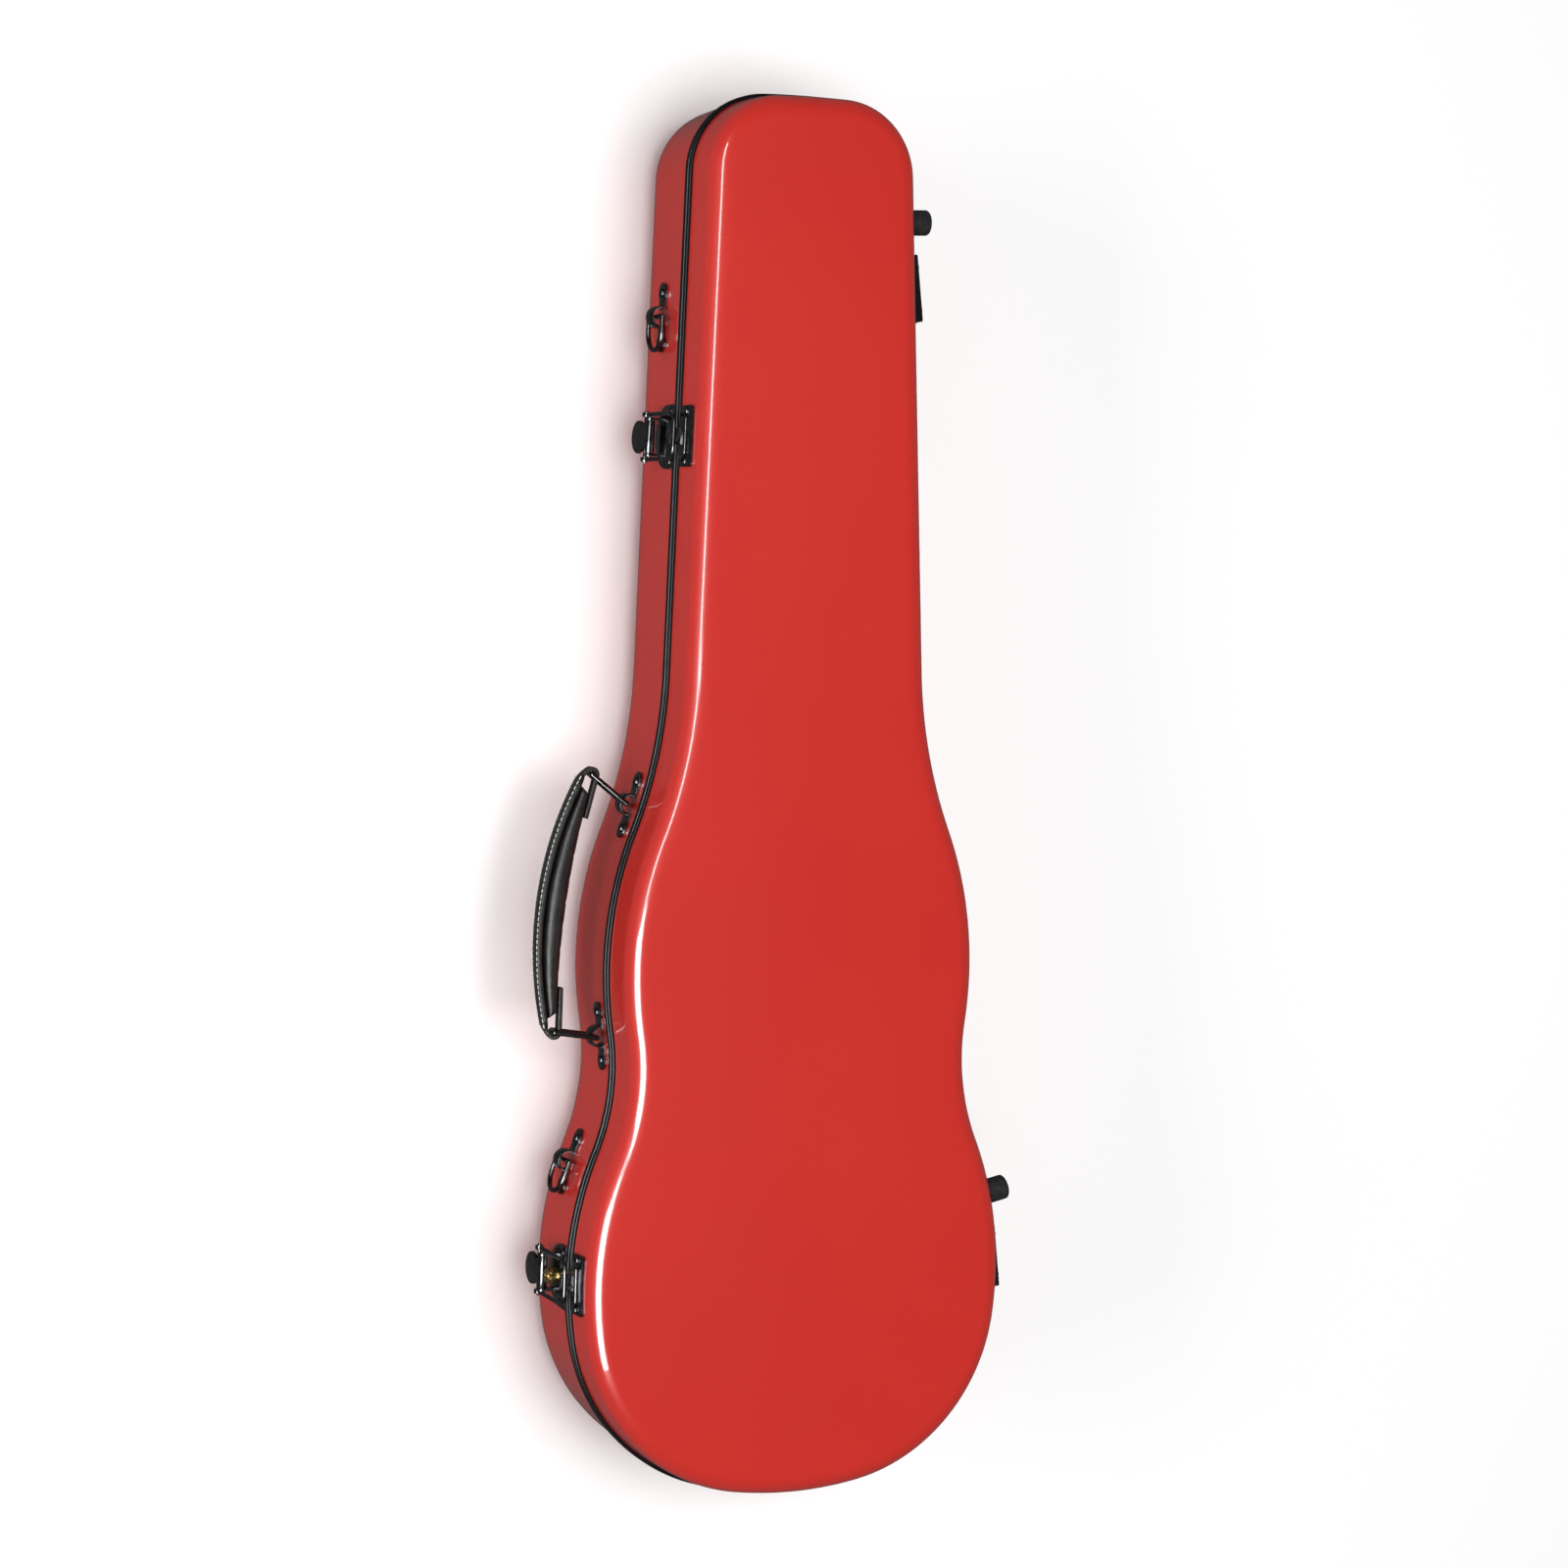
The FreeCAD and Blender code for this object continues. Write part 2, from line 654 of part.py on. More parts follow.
    # Catch on the lid: a plate with a straight lip under the bail and a raised ridge.
    lip_top = apex - wire - 0.2
    plate = common(tag + "catch_plate", LID_SKIN,
                   local_pad(tag + "catch_outline", frame, rectangle(-half + 1, 4.4, half - 1, 20.0), -8.0, 14.0,
                             radius=2.5, test=lambda e: e.BoundBox.ZLength > 10))
    lip = local_pad(tag + "lip", frame, rectangle(-4.6, lip_top - 2.4, 4.6, lip_top), -3.0, pin_z + 4.6)
    ridge = local_pad(tag + "ridge", frame, slot(-9.0, 14.5, 9.0, 14.5, 1.6), -3.0, 5.6, radius=1.0,
                      test=lambda e: e.BoundBox.ZMin > 2.5)
    solid = fuse(tag + "catch_solid", [plate, lip, ridge])
    piece(cut(tag + "catch", solid, LID_OUTER), tag + "catch")
    return frame


def make_latches():
    base_rivets = []
    lid_rivets = []
    for name in ("upper", "lower"):
        frame = make_latch(name)
        for x in (-14.0, 14.0):
            base_rivets.append((frame, x, -9.5, dim("plate_thickness") - 0.7))
            lid_rivets.append((frame, x, 12.0, dim("plate_thickness") - 1.2))
    rivets("latch_rivets", base_rivets, BASE_OUTER)
    rivets("catch_rivets", lid_rivets, LID_OUTER)
    # The lower latch carries the lock: a brass barrel with a turning plug.
    frame = wall_frame(LATCH_Y["lower"], -1)
    centre = Vector(0, -17.0, 0)
    rise = Vector(0, 0, 1)
    barrel = local_cylinder("barrel_solid", frame, 4.2, 6.2, centre + rise * 1.2, rise)
    bore = local_cylinder("barrel_bore", frame, 2.75, 8.0, centre + rise * 3.0, rise)
    piece(cut("lock_barrel", barrel, bore), "lock_barrel")
    plug = local_cylinder("plug_solid", frame, 2.7, 4.6, centre + rise * 3.05, rise)
    key = local_pad("keyway", frame, rectangle(-0.45, -19.0, 0.45, -15.0), 6.0, 4.0)
    piece(cut("lock_plug", plug, key), "lock_plug")


# ---------------------------------------------------------------- saddles, rings and handle

RING_PLACES = {"upper": (272.5, 33.0), "lower": (-205.5, 34.0)}
HANDLE_PLACES = {"upper": (-2.0, 19.0), "lower": (-132.0, 17.0)}
RIVET_REACH = 13.8


def make_saddle(label, y, drop):
    """A riveted strap with an arch in the middle, for a wire to pass through."""
    frame = wall_frame(y, -1, drop)
    width = dim("saddle_width")
    arch = dim("saddle_arch_radius")
    thick = dim("saddle_thickness")
    lobes = []
    for side in (-1, 1):
        disc = local_pad("%s_lobe_%d" % (label, side + 1), frame,
                         circle(side * RIVET_REACH, 0, width / 2 + 1.2), -6.0, 12.0)
        inner, outer = sorted((side * (arch - 0.5), side * RIVET_REACH))
        neck = local_pad("%s_neck_%d" % (label, side + 1), frame,
                         rectangle(inner, -width / 2, outer, width / 2), -6.0, 12.0)
        lobes += [disc, neck]
    plate = common(label + "_plate", BASE_SKIN, fuse(label + "_lobes", lobes))
    centre = 1.6
    outer = arch + thick
    profile = [
        Part.LineSegment(Vector(outer, -2, 0), Vector(outer, centre, 0)),
        Part.Arc(Vector(outer, centre, 0), Vector(0, centre + outer, 0), Vector(-outer, centre, 0)),
        Part.LineSegment(Vector(-outer, centre, 0), Vector(-outer, -2, 0)),
        Part.LineSegment(Vector(-outer, -2, 0), Vector(-arch, -2, 0)),
        Part.LineSegment(Vector(-arch, -2, 0), Vector(-arch, centre, 0)),
        Part.Arc(Vector(-arch, centre, 0), Vector(0, centre + arch, 0), Vector(arch, centre, 0)),
        Part.LineSegment(Vector(arch, centre, 0), Vector(arch, -2, 0)),
        Part.LineSegment(Vector(arch, -2, 0), Vector(outer, -2, 0)),
    ]
    arch_body = local_pad(label + "_arch", frame, profile, 0.0, width, "XZ_Plane", True)
    solid = fuse(label + "_solid", [plate, arch_body])
    piece(cut(label, solid, BASE_OUTER), label)
    return frame


def tube(name, first, last, radius):
    return cylinder(name, radius, (last - first).Length, first, last - first)


def ball(name, centre, radius):
    obj = doc.addObject("Part::Sphere", name)
    obj.Radius = radius
    obj.Placement = Placement(centre, Rotation())
    return obj


def make_strap_ring(name, frame):
    """A D-shaped ring hanging from its saddle towards the lower end."""
    label = "strap_ring_" + name
    wire = dim("ring_wire_radius")
    half = dim("ring_half_width")
    height = RING_HEIGHT
    straight = 8.0
    corners = [Vector(0, side * half, height) for side in (-1, 1)]
    parts = [tube(label + "_bar", corners[0], corners[1], wire)]
    for k, corner in enumerate(corners):
        parts.append(ball("%s_corner_%d" % (label, k), corner, wire))
        parts.append(tube("%s_side_%d" % (label, k), corner, corner + Vector(straight, 0, 0), wire))
    bend = doc.addObject("Part::Torus", label + "_bend")
    bend.Radius1 = half
    bend.Radius2 = wire
    bend.Angle3 = 180.0
    bend.Placement = Placement(Vector(straight, 0, height), Rotation(Vector(0, 0, 1), -90))
    ring = fuse(label, parts + [bend])
    ring.Placement = frame
    piece(ring, label)


RING_HEIGHT = 3.5
LINK_HEIGHT = 3.5
DROOP = 12.0
GRIP_END = 7.0


def saddle_centre(y, drop, height):
    return wall_frame(y, -1, drop).multVec(Vector(0, 0, height))


def make_handle():
    """A leather handle on two wire links, hanging a little from the two saddles."""
    upper = saddle_centre(*HANDLE_PLACES["upper"], LINK_HEIGHT)
    lower = saddle_centre(*HANDLE_PLACES["lower"], LINK_HEIGHT)
    axis = upper - lower
    outer_upper = upper + Vector(-19.5, 16.5, 0)
    outer_lower = lower + Vector(-24.0, 3.5, 0)
    chord = outer_upper - outer_lower
    outward = Vector(0, 0, 1).cross(chord).normalize()
    middle = (outer_upper + outer_lower) * 0.5
    rotation = Rotation(chord, outward, Vector(0, 0, 1), "XYZ")
    frame = Placement(middle, rotation)
    swing = Placement(Vector(), Rotation(axis, -DROOP), lower)
    half = chord.Length / 2
    depth = 13.0
    thick = dim("strap_thickness")
    wide = dim("grip_width")
    wire = dim("link_wire_radius")
    placed = swing.multiply(frame)
    axis_up = Vector(0, 0, 1)

    def bow(y_end, y_mid, reach):
        return Vector(-reach, y_end, 0), Vector(0, y_mid, 0), Vector(reach, y_end, 0)

    # Outer strap: one band of leather, looped round each link's outer bar.
    start, mid, end = bow(3.2, depth + 3.2, half)
    start_out, mid_out, end_out = bow(3.2 + thick, depth + 3.2 + thick, half)
    band = [
        Part.Arc(start, mid, end),
        Part.LineSegment(end, end_out),
        Part.Arc(end_out, mid_out, start_out),
        Part.LineSegment(start_out, start),
    ]
    parts = [local_pad("strap_band", placed, band, 0.0, wide, "XY_Plane", True)]
    loop_width = dim("link_width") - 3 * wire - 0.8
    for side in (-1, 1):
        loop = circle(side * half, 0, wire + 0.3 + thick) + circle(side * half, 0, wire + 0.3)
        parts.append(local_pad("strap_loop_%d" % (side + 1), placed, loop, 0.0, loop_width,
                               "XY_Plane", True))
    slots = []
    for side in (-1, 1):
        slots.append(local_pad("strap_slot_%d" % (side + 1), placed,
                               circle(side * half, 0, wire + 0.3), 0.0, wide + 4, "XY_Plane", True))
    piece(cut("handle_strap", fuse("strap_solid", parts), fuse("strap_slots", slots)), "handle_strap")

    # Padded grip under the strap, thickest in the middle.
    reach = half - GRIP_END
    rise = depth * (1 - (reach / half) ** 2)
    grip = [
        Part.Arc(Vector(-reach, 3.1 + rise, 0), Vector(0, depth + 3.1, 0), Vector(reach, 3.1 + rise, 0)),
        Part.LineSegment(Vector(reach, 3.1 + rise, 0), Vector(reach, -0.8, 0)),
        Part.Arc(Vector(reach, -0.8, 0), Vector(0, depth - 9.5, 0), Vector(-reach, -0.8, 0)),
        Part.LineSegment(Vector(-reach, -0.8, 0), Vector(-reach, 3.1 + rise, 0)),
    ]
    piece(local_pad("grip_pad", placed, grip, 0.0, wide - 2.0, "XY_Plane", True), "handle_grip")

    # Folded strap ends, brought back from the loops under the grip.
    tabs = []
    outer = wire + 0.3 + thick
    for side in (-1, 1):
        near, far = side * half, side * (half - 25.0)
        corners = [Vector(near, -outer, 0), Vector(near, thick - outer, 0),
                   Vector(far, thick - outer + 2.9, 0), Vector(far, 2.9 - outer, 0)]
        sides = [Part.LineSegment(corners[k - 1], corners[k]) for k in range(4)]
        tabs.append(local_pad("tab_%d" % (side + 1), placed, sides, 0.0, loop_width, "XY_Plane", True))
    piece(fuse("handle_tabs", tabs), "handle_tabs")

    # Wire links.
    half_link = dim("link_width") / 2 - wire / 2
    for name, inner, outer in (("upper", upper, outer_upper), ("lower", lower, outer_lower)):
        rise_by = axis_up * half_link
        corners = [inner - rise_by, inner + rise_by, outer + rise_by, outer - rise_by]
        parts = []
        for k, corner in enumerate(corners):
            parts.append(ball("link_%s_ball_%d" % (name, k), corner, wire))
            parts.append(tube("link_%s_side_%d" % (name, k), corner, corners[(k + 1) % 4], wire))
        link = fuse("handle_link_" + name, parts)
        link.Placement = swing
        piece(link, "handle_link_" + name)


def make_carrying():
    strap_rivets = []
    for name, (y, drop) in RING_PLACES.items():
        frame = make_saddle("ring_saddle_" + name, y, drop)
        make_strap_ring(name, frame)
        for x in (-RIVET_REACH, RIVET_REACH):
            strap_rivets.append((frame, x, 0.0, wall_seat(y, drop, x)))
    rivets("ring_saddle_rivets", strap_rivets, BASE_OUTER)
    handle_rivets = []
    for name, (y, drop) in HANDLE_PLACES.items():
        frame = make_saddle("handle_saddle_" + name, y, drop)
        for x in (-RIVET_REACH, RIVET_REACH):
            handle_rivets.append((frame, x, 0.0, wall_seat(y, drop, x)))
    rivets("handle_saddle_rivets", handle_rivets, BASE_OUTER)
    make_handle()


def wall_seat(y, drop, along):
    """How far out the plate's face stands at a place along the wall, in the wall's frame."""
    frame = wall_frame(y, -1, drop)
    near = frame.multVec(Vector(along, 0, 0))
    point, outward = wall_at(near.y, -1)
    inset = drop * math.tan(math.radians(dim("base_draft")))
    surface = point - outward * inset
    seat = frame.inverse().multVec(Vector(surface.x, surface.y, near.z))
    return seat.z + dim("plate_thickness") - 0.1


# ---------------------------------------------------------------- feet and hinges

FOOT_PLACES = (328.0, -230.0)


def make_feet():
    for shell, outer, drop in (("lid", LID_OUTER, -14.5), ("base", BASE_OUTER, 42.0)):
        feet = []
        bores = []
        screws = []
        for k, y in enumerate(FOOT_PLACES):
            frame = wall_frame(y, 1, drop)
            tag = "%s_%d" % (shell, k)
            feet.append(local_pad("foot_" + tag, frame, circle(0, 0, dim("foot_radius")), -4.0,
                                  dim("foot_height") + 4.0, radius=1.6,
                                  test=lambda e: e.BoundBox.ZMin > 5))
            bores.append(local_cylinder("foot_bore_" + tag, frame, 3.4, 10.0, Vector(0, 0, 8.0), Vector(0, 0, 1)))
            screws.append(local_cylinder("foot_screw_" + tag, frame, 3.1, 2.0, Vector(0, 0, 8.0), Vector(0, 0, 1)))
        solid = cut("feet_drilled_" + shell, fuse("feet_solid_" + shell, feet), fuse("feet_bores_" + shell, bores))
        piece(cut("side_feet_" + shell, solid, outer), "side_feet_" + shell)
        piece(fuse("foot_screws_" + shell, screws), "foot_screws_" + shell)


def hinge_line():
    """The straight line that touches the lower bout and the neck's corner from outside."""
    low_centre, low_radius = ARCS[2][0], ARCS[2][1]
    high_centre, high_radius = ARCS[6][0], ARCS[6][1]
    gap = low_centre - high_centre
    angle = math.atan2(gap.y, gap.x)
    lean = angle + math.acos((high_radius - low_radius) / gap.Length)
    outward = Vector(math.cos(lean), math.sin(lean), 0)
    touch = low_centre + outward * low_radius
    along = Vector(-outward.y, outward.x, 0)
    return touch + outward * dim("hinge_stand_off"), along, outward


def hinge_frame(y):
    start, along, outward = hinge_line()
    centre = start + along * ((y - start.y) / along.y) + Vector(0, 0, SEAM)
    return Placement(centre, Rotation(along, Vector(0, 0, 1), outward, "XYZ"))


HINGE_PLACES = {"lower": -268.0, "upper": 292.0}


def make_hinges():
    half = dim("hinge_length") / 2
    third = half / 2
    gap = 0.15
    pin = dim("hinge_pin_radius")
    radius = dim("hinge_knuckle_radius")
    along = Vector(1, 0, 0)
    pins = []
    base_rivets = []
    lid_rivets = []
    face = -1.2
    for name, y in HINGE_PLACES.items():
        frame = hinge_frame(y)
        bore = local_cylinder("hinge_bore_" + name, frame, pin + dim("running_gap"), 3 * half,
                              along * (-1.5 * half), along)
        pins.append(local_cylinder("hinge_pin_" + name, frame, pin, 2 * half + 1.0, along * (-half - 0.5), along))
        for shell, outer, way in (("base", BASE_OUTER, -1), ("lid", LID_OUTER, 1)):
            tag = "hinge_%s_%s_" % (name, shell)
            y0, y1 = sorted((way * 4.6, way * 13.0))
            parts = [local_pad(tag + "plate", frame, rectangle(-half, y0, half, y1), -16.0, 16.0 + face,
                               radius=1.5, test=lambda e: e.BoundBox.ZLength > 10)]
            spans = ((-half, -third - gap), (third + gap, half)) if way < 0 else ((-third + gap, third - gap),)
            for k, (x0, x1) in enumerate(spans):
                w0, w1 = sorted((0.0, way * 6.0))
                parts.append(local_pad("%sweb_%d" % (tag, k), frame, rectangle(x0, w0, x1, w1), -radius,
                                       radius + face))
                parts.append(local_cylinder("%sknuckle_%d" % (tag, k), frame, radius, x1 - x0,
                                            along * x0, along))
            solid = cut(tag + "drilled", fuse(tag + "solid", parts), bore)
            piece(cut(tag + "cut", solid, outer), tag + "leaf")
            for x in (-12.0, 12.0):
                (base_rivets if way < 0 else lid_rivets).append((frame, x, way * 9.0, face - 0.1))
    piece(fuse("hinge_pins", pins), "hinge_pins")
    rivets("hinge_rivets_base", base_rivets, BASE_OUTER)
    rivets("hinge_rivets_lid", lid_rivets, LID_OUTER)


# ---------------------------------------------------------------- the whole case

BASE_OUTER = base_form("base_outer", 0.0)
LID_OUTER = lid_form("lid_outer", 0.0)
BASE_SKIN = base_form("base_skin", -dim("plate_thickness"))
LID_SKIN = lid_form("lid_skin", -dim("plate_thickness"))
make_shells()
make_rims()
make_bed()
make_base_interior()
make_lid_interior()
make_latches()
make_carrying()
make_feet()
make_hinges()
doc.recompute()

failed = [o.Name for o in doc.Objects if "Invalid" in o.State or "Error" in o.State]
if failed:
    raise RuntimeError("these did not compute: %s" % failed)
os.makedirs("parts", exist_ok=True)
for obj in PIECES:
    shape = obj.Shape
    if shape.isNull() or not shape.isValid() or not shape.Solids:
        raise RuntimeError("%s has no valid solid" % obj.Label)
    shape.exportStep("parts/%s.step" % obj.Label)
    print("%-24s solids %d volume %.0f" % (obj.Label, len(shape.Solids), shape.Volume))
print(len(PIECES), "pieces")
start, along, outward = hinge_line()
print("lid hinge", start, along)
for name, y in LATCH_Y.items():
    frame = wall_frame(y, -1)
    pivot_y = -dim("latch_pivot_drop")
    print("latch", name, frame.multVec(Vector(0, pivot_y, dim("latch_pivot_height"))),
          frame.multVec(Vector(0, pivot_y - dim("latch_throw"), dim("latch_pivot_height") - 0.5)),
          frame.Rotation.multVec(Vector(1, 0, 0)))
frame = wall_frame(LATCH_Y["lower"], -1)
print("lock", frame.multVec(Vector(0, -17, 0)), frame.Rotation.multVec(Vector(0, 0, 1)))
for name, (y, drop) in RING_PLACES.items():
    print("ring", name, saddle_centre(y, drop, RING_HEIGHT), wall_frame(y, -1, drop).Rotation.multVec(Vector(0, 1, 0)))
print("handle", [saddle_centre(*HANDLE_PLACES[k], LINK_HEIGHT) for k in ("upper", "lower")])
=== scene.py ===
import json
import math

import bmesh
import bpy
from mathutils import Matrix, Vector


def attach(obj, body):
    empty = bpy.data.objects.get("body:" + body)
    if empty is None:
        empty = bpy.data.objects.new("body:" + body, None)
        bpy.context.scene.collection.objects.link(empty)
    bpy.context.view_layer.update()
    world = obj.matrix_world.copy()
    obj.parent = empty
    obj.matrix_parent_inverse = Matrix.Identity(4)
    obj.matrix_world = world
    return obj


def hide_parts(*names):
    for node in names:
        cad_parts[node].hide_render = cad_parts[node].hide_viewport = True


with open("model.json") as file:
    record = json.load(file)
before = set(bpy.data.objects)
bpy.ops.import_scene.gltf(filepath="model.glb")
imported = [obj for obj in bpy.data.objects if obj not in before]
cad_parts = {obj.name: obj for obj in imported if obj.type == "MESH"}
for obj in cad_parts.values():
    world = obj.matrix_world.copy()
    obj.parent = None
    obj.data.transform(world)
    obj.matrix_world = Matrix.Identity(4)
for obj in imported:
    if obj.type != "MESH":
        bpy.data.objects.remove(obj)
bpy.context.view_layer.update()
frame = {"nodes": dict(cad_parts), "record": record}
NODES = frame["nodes"]
MM = 0.001

# Sizes of the case, in millimetres, as in the CAD model.
LENGTH = 790.0
SEAM = 81.0
LID_TOP = 115.0
WALL = 2.5
CROWN_RADIUS = 2200.0
BASE_DRAFT = math.radians(2.0)
LID_DRAFT = math.radians(3.5)
BASE_EDGE = 30.0
LID_EDGE = 11.5
NECK_CORNER = 44.2
TOP_SWEEP = math.radians(2.0)
LID_LIFT = 0.1
# The side, from the lower end: (radius, turn in degrees).
SIDE_ARCS = [(229.0, 9.43), (108.2, 72.17), (198.5, 31.0), (127.0, -31.38), (213.5, 30.52), (269.0, -19.58)]

# How the meshes are made.
POINT_SPACING = 3.0
CAP_COLUMNS = 28
CONTACT_ROUNDS = 8
SHARP_ANGLE = math.radians(50)
WELD_METRES = 0.00002
BEVEL_METRES = 0.00022
BEVEL_ANGLE = math.radians(35)


# ---------------------------------------------------------------- outline

def outline_arcs():
    """One side of the outline: (centre, radius, turn, first and last heading)."""
    arcs = []

    def add(x, y, heading, radius, sweep):
        turn = 1 if sweep > 0 else -1
        centre = Vector((x - turn * radius * math.sin(heading), y + turn * radius * math.cos(heading)))
        arcs.append([centre, radius, turn, heading, heading + sweep])
        last = heading + sweep
        end = centre + Vector((math.sin(last), -math.cos(last))) * (turn * radius)
        return end.x, end.y, last

    x = y = heading = 0.0
    for radius, sweep in SIDE_ARCS:
        x, y, heading = add(x, y, heading, radius, math.radians(sweep))
    top = math.pi - TOP_SWEEP
    over = (math.sin(top) - math.sin(heading)) * NECK_CORNER
    rise = (math.cos(heading) - math.cos(top)) * NECK_CORNER
    tilt = math.tan(TOP_SWEEP / 2)
    slope = math.sin(heading) + math.cos(heading) * tilt
    run = (LENGTH - y - rise - (x + over) * tilt) / slope
    x += run * math.cos(heading)
    y += run * math.sin(heading)
    x, y, heading = add(x, y, heading, NECK_CORNER, top - heading)
    add(x, y, heading, x / math.sin(TOP_SWEEP), TOP_SWEEP)
    for arc in arcs:
        arc[0] = arc[0] - Vector((0, LENGTH / 2))
    return arcs


ARCS = outline_arcs()


def half_outline():
    """(point, outward direction) up the +X side, from the lower end to the top."""
    places = []
    for centre, radius, turn, first, last in ARCS:
        steps = max(3, round(radius * abs(last - first) / POINT_SPACING))
        outward = Vector((math.sin(first), -math.cos(first)))
        start = centre + outward * (turn * radius)
        if places:
            begin = places[-1][0]
            count = max(1, round((start - begin).length / POINT_SPACING))
            places += [(begin.lerp(start, k / count), outward) for k in range(1, count)]
        for k in range(1 if places and (start - places[-1][0]).length < 0.01 else 0, steps + 1):
            angle = first + (last - first) * k / steps
            outward = Vector((math.sin(angle), -math.cos(angle)))
            places.append((centre + outward * (turn * radius), outward))
    return places


def whole_outline():
    half = half_outline()
    half[0] = (Vector((0, half[0][0].y)), Vector((0, -1)))
    half[-1] = (Vector((0, half[-1][0].y)), Vector((0, 1)))
    mirrored = [(Vector((-p.x, p.y)), Vector((-n.x, n.y))) for p, n in reversed(half[1:-1])]
    return half + mirrored


OUTLINE = whole_outline()


def ring(offset, height):
    """The closed outline moved outwards by offset, at a height."""
    return [Vector((p.x + n.x * offset, p.y + n.y * offset, height)) for p, n in OUTLINE]


class Top:
    """A shell's closed end: flat, or crowned across its width."""

    def __init__(self, level, radius=None):
        self.level = level
        self.radius = radius

    def at(self, x):
        if self.radius is None:
            return self.level
        return self.level - self.radius + math.sqrt(self.radius ** 2 - x ** 2)

    def inner(self, depth, way):
        return Top(self.level - way * depth, self.radius and self.radius - depth)


# ---------------------------------------------------------------- mesh helpers

def new_object(name, vertices, faces, body, slot=None, material=None):
    """A mesh in millimetres becomes a piece in metres that rides on a body, with a slot or its own material."""
    mesh = bpy.data.meshes.new(name)
    mesh.from_pydata([Vector(v) * MM for v in vertices], [], faces)
    mesh.validate()
    obj = bpy.data.objects.new(name, mesh)
    bpy.context.scene.collection.objects.link(obj)
    bm = bmesh.new()
    bm.from_mesh(mesh)
    bmesh.ops.recalc_face_normals(bm, faces=bm.faces)
    bm.to_mesh(mesh)
    bm.free()
    for polygon in mesh.polygons:
        polygon.use_smooth = True
    obj.data.materials.append(material or MATERIALS[slot])
    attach(obj, body)
    return obj


def add_ring_strip(vertices, faces, rings):
    """Joins rings of equal length into bands of quads, and gives each ring's first index."""
    starts = []
    count = len(rings[0])
    for points in rings:
        starts.append(len(vertices))
        vertices.extend(points)
    for low, high in zip(starts, starts[1:]):
        for k in range(count):
            n = (k + 1) % count
            faces.append((low + k, low + n, high + n, high + k))
    return starts


def add_cap(vertices, faces, start, top):
    """Closes a ring with a ladder of quads between its mirrored sides."""
    count = len(OUTLINE)
    half = count // 2
    rows = [[start]]
    for k in range(1, half):
        right = vertices[start + k]
        left_index = start + count - k
        left = vertices[left_index]
        row = [start + k]
        for c in range(1, CAP_COLUMNS):
            place = right.lerp(left, c / CAP_COLUMNS)
            row.append(len(vertices))
            vertices.append(Vector((place.x, place.y, top.at(place.x))))
        row.append(left_index)
        rows.append(row)
    rows.append([start + half])
    for low, high in zip(rows, rows[1:]):
        if len(low) == 1:
            faces.extend((low[0], high[c], high[c + 1]) for c in range(CAP_COLUMNS))
        elif len(high) == 1:
            faces.extend((low[c], high[0], low[c + 1]) for c in range(CAP_COLUMNS))
        else:
            faces.extend((low[c], high[c], high[c + 1], low[c + 1]) for c in range(CAP_COLUMNS))


def mark_sharp_edges(obj):
    obj.data.set_sharp_from_angle(angle=SHARP_ANGLE)


def loft(name, sections, body, slot):
    """A closed bar through a row of sections, each a list of points in the same order."""
    vertices = []
    faces = []
    starts = add_ring_strip(vertices, faces, sections)
    sides = len(sections[0])
    faces.append(tuple(range(sides)))
    faces.append(tuple(starts[-1] + s for s in range(sides)))
    obj = new_object(name, vertices, faces, body, slot)
    mark_sharp_edges(obj)
    return obj


def dome_rings(inset, start, draft, edge, top, way, wall_steps=6, edge_steps=12):
    """Rings up a drafted wall and round its edge on to the closed end."""
    core = top.inner(edge, way)
    columns = []
    for point, outward in OUTLINE:
        offset = -inset - (abs(top.level - start) - edge) * math.tan(draft) - edge
        for _ in range(CONTACT_ROUNDS):
            x = point.x + outward.x * offset
            level = core.at(x)
            contact = level + way * edge * math.sin(draft)
            offset = -inset - abs(contact - start) * math.tan(draft) - edge * math.cos(draft)
        slope = 0.0 if core.radius is None else math.asin(x * outward.x / core.radius)
        profile = []
        for k in range(wall_steps):
            height = start + (contact - start) * k / wall_steps
            profile.append((-inset - abs(height - start) * math.tan(draft), height))
        for k in range(edge_steps + 1):
            angle = draft + (math.pi / 2 - slope - draft) * k / edge_steps
            profile.append((offset + edge * math.cos(angle), level + way * edge * math.sin(angle)))
        columns.append([Vector((point.x + outward.x * o, point.y + outward.y * o, z)) for o, z in profile])
    return [[column[k] for column in columns] for k in range(len(columns[0]))]


def shell(name, node, body, start, top, draft, edge, thickness, inset=0.0, slot="red_shell"):
    """A moulded shell with an even wall, open at the seam."""
    vertices = []
    faces = []
    way = 1 if top.level > start else -1
    inner_top = top.inner(thickness, way)
    outer = dome_rings(inset, start, draft, edge, top, way)
    inner = dome_rings(inset + thickness, start, draft, edge - thickness, inner_top, way)
    outer_starts = add_ring_strip(vertices, faces, outer)
    add_cap(vertices, faces, outer_starts[-1], top)
    inner_starts = add_ring_strip(vertices, faces, inner)
    add_cap(vertices, faces, inner_starts[-1], inner_top)
    count = len(outer[0])
    for k in range(count):
        n = (k + 1) % count
        faces.append((outer_starts[0] + k, outer_starts[0] + n, inner_starts[0] + n, inner_starts[0] + k))
    obj = new_object(name, vertices, faces, body, slot)
    mark_sharp_edges(obj)
    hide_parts(node)
    return obj


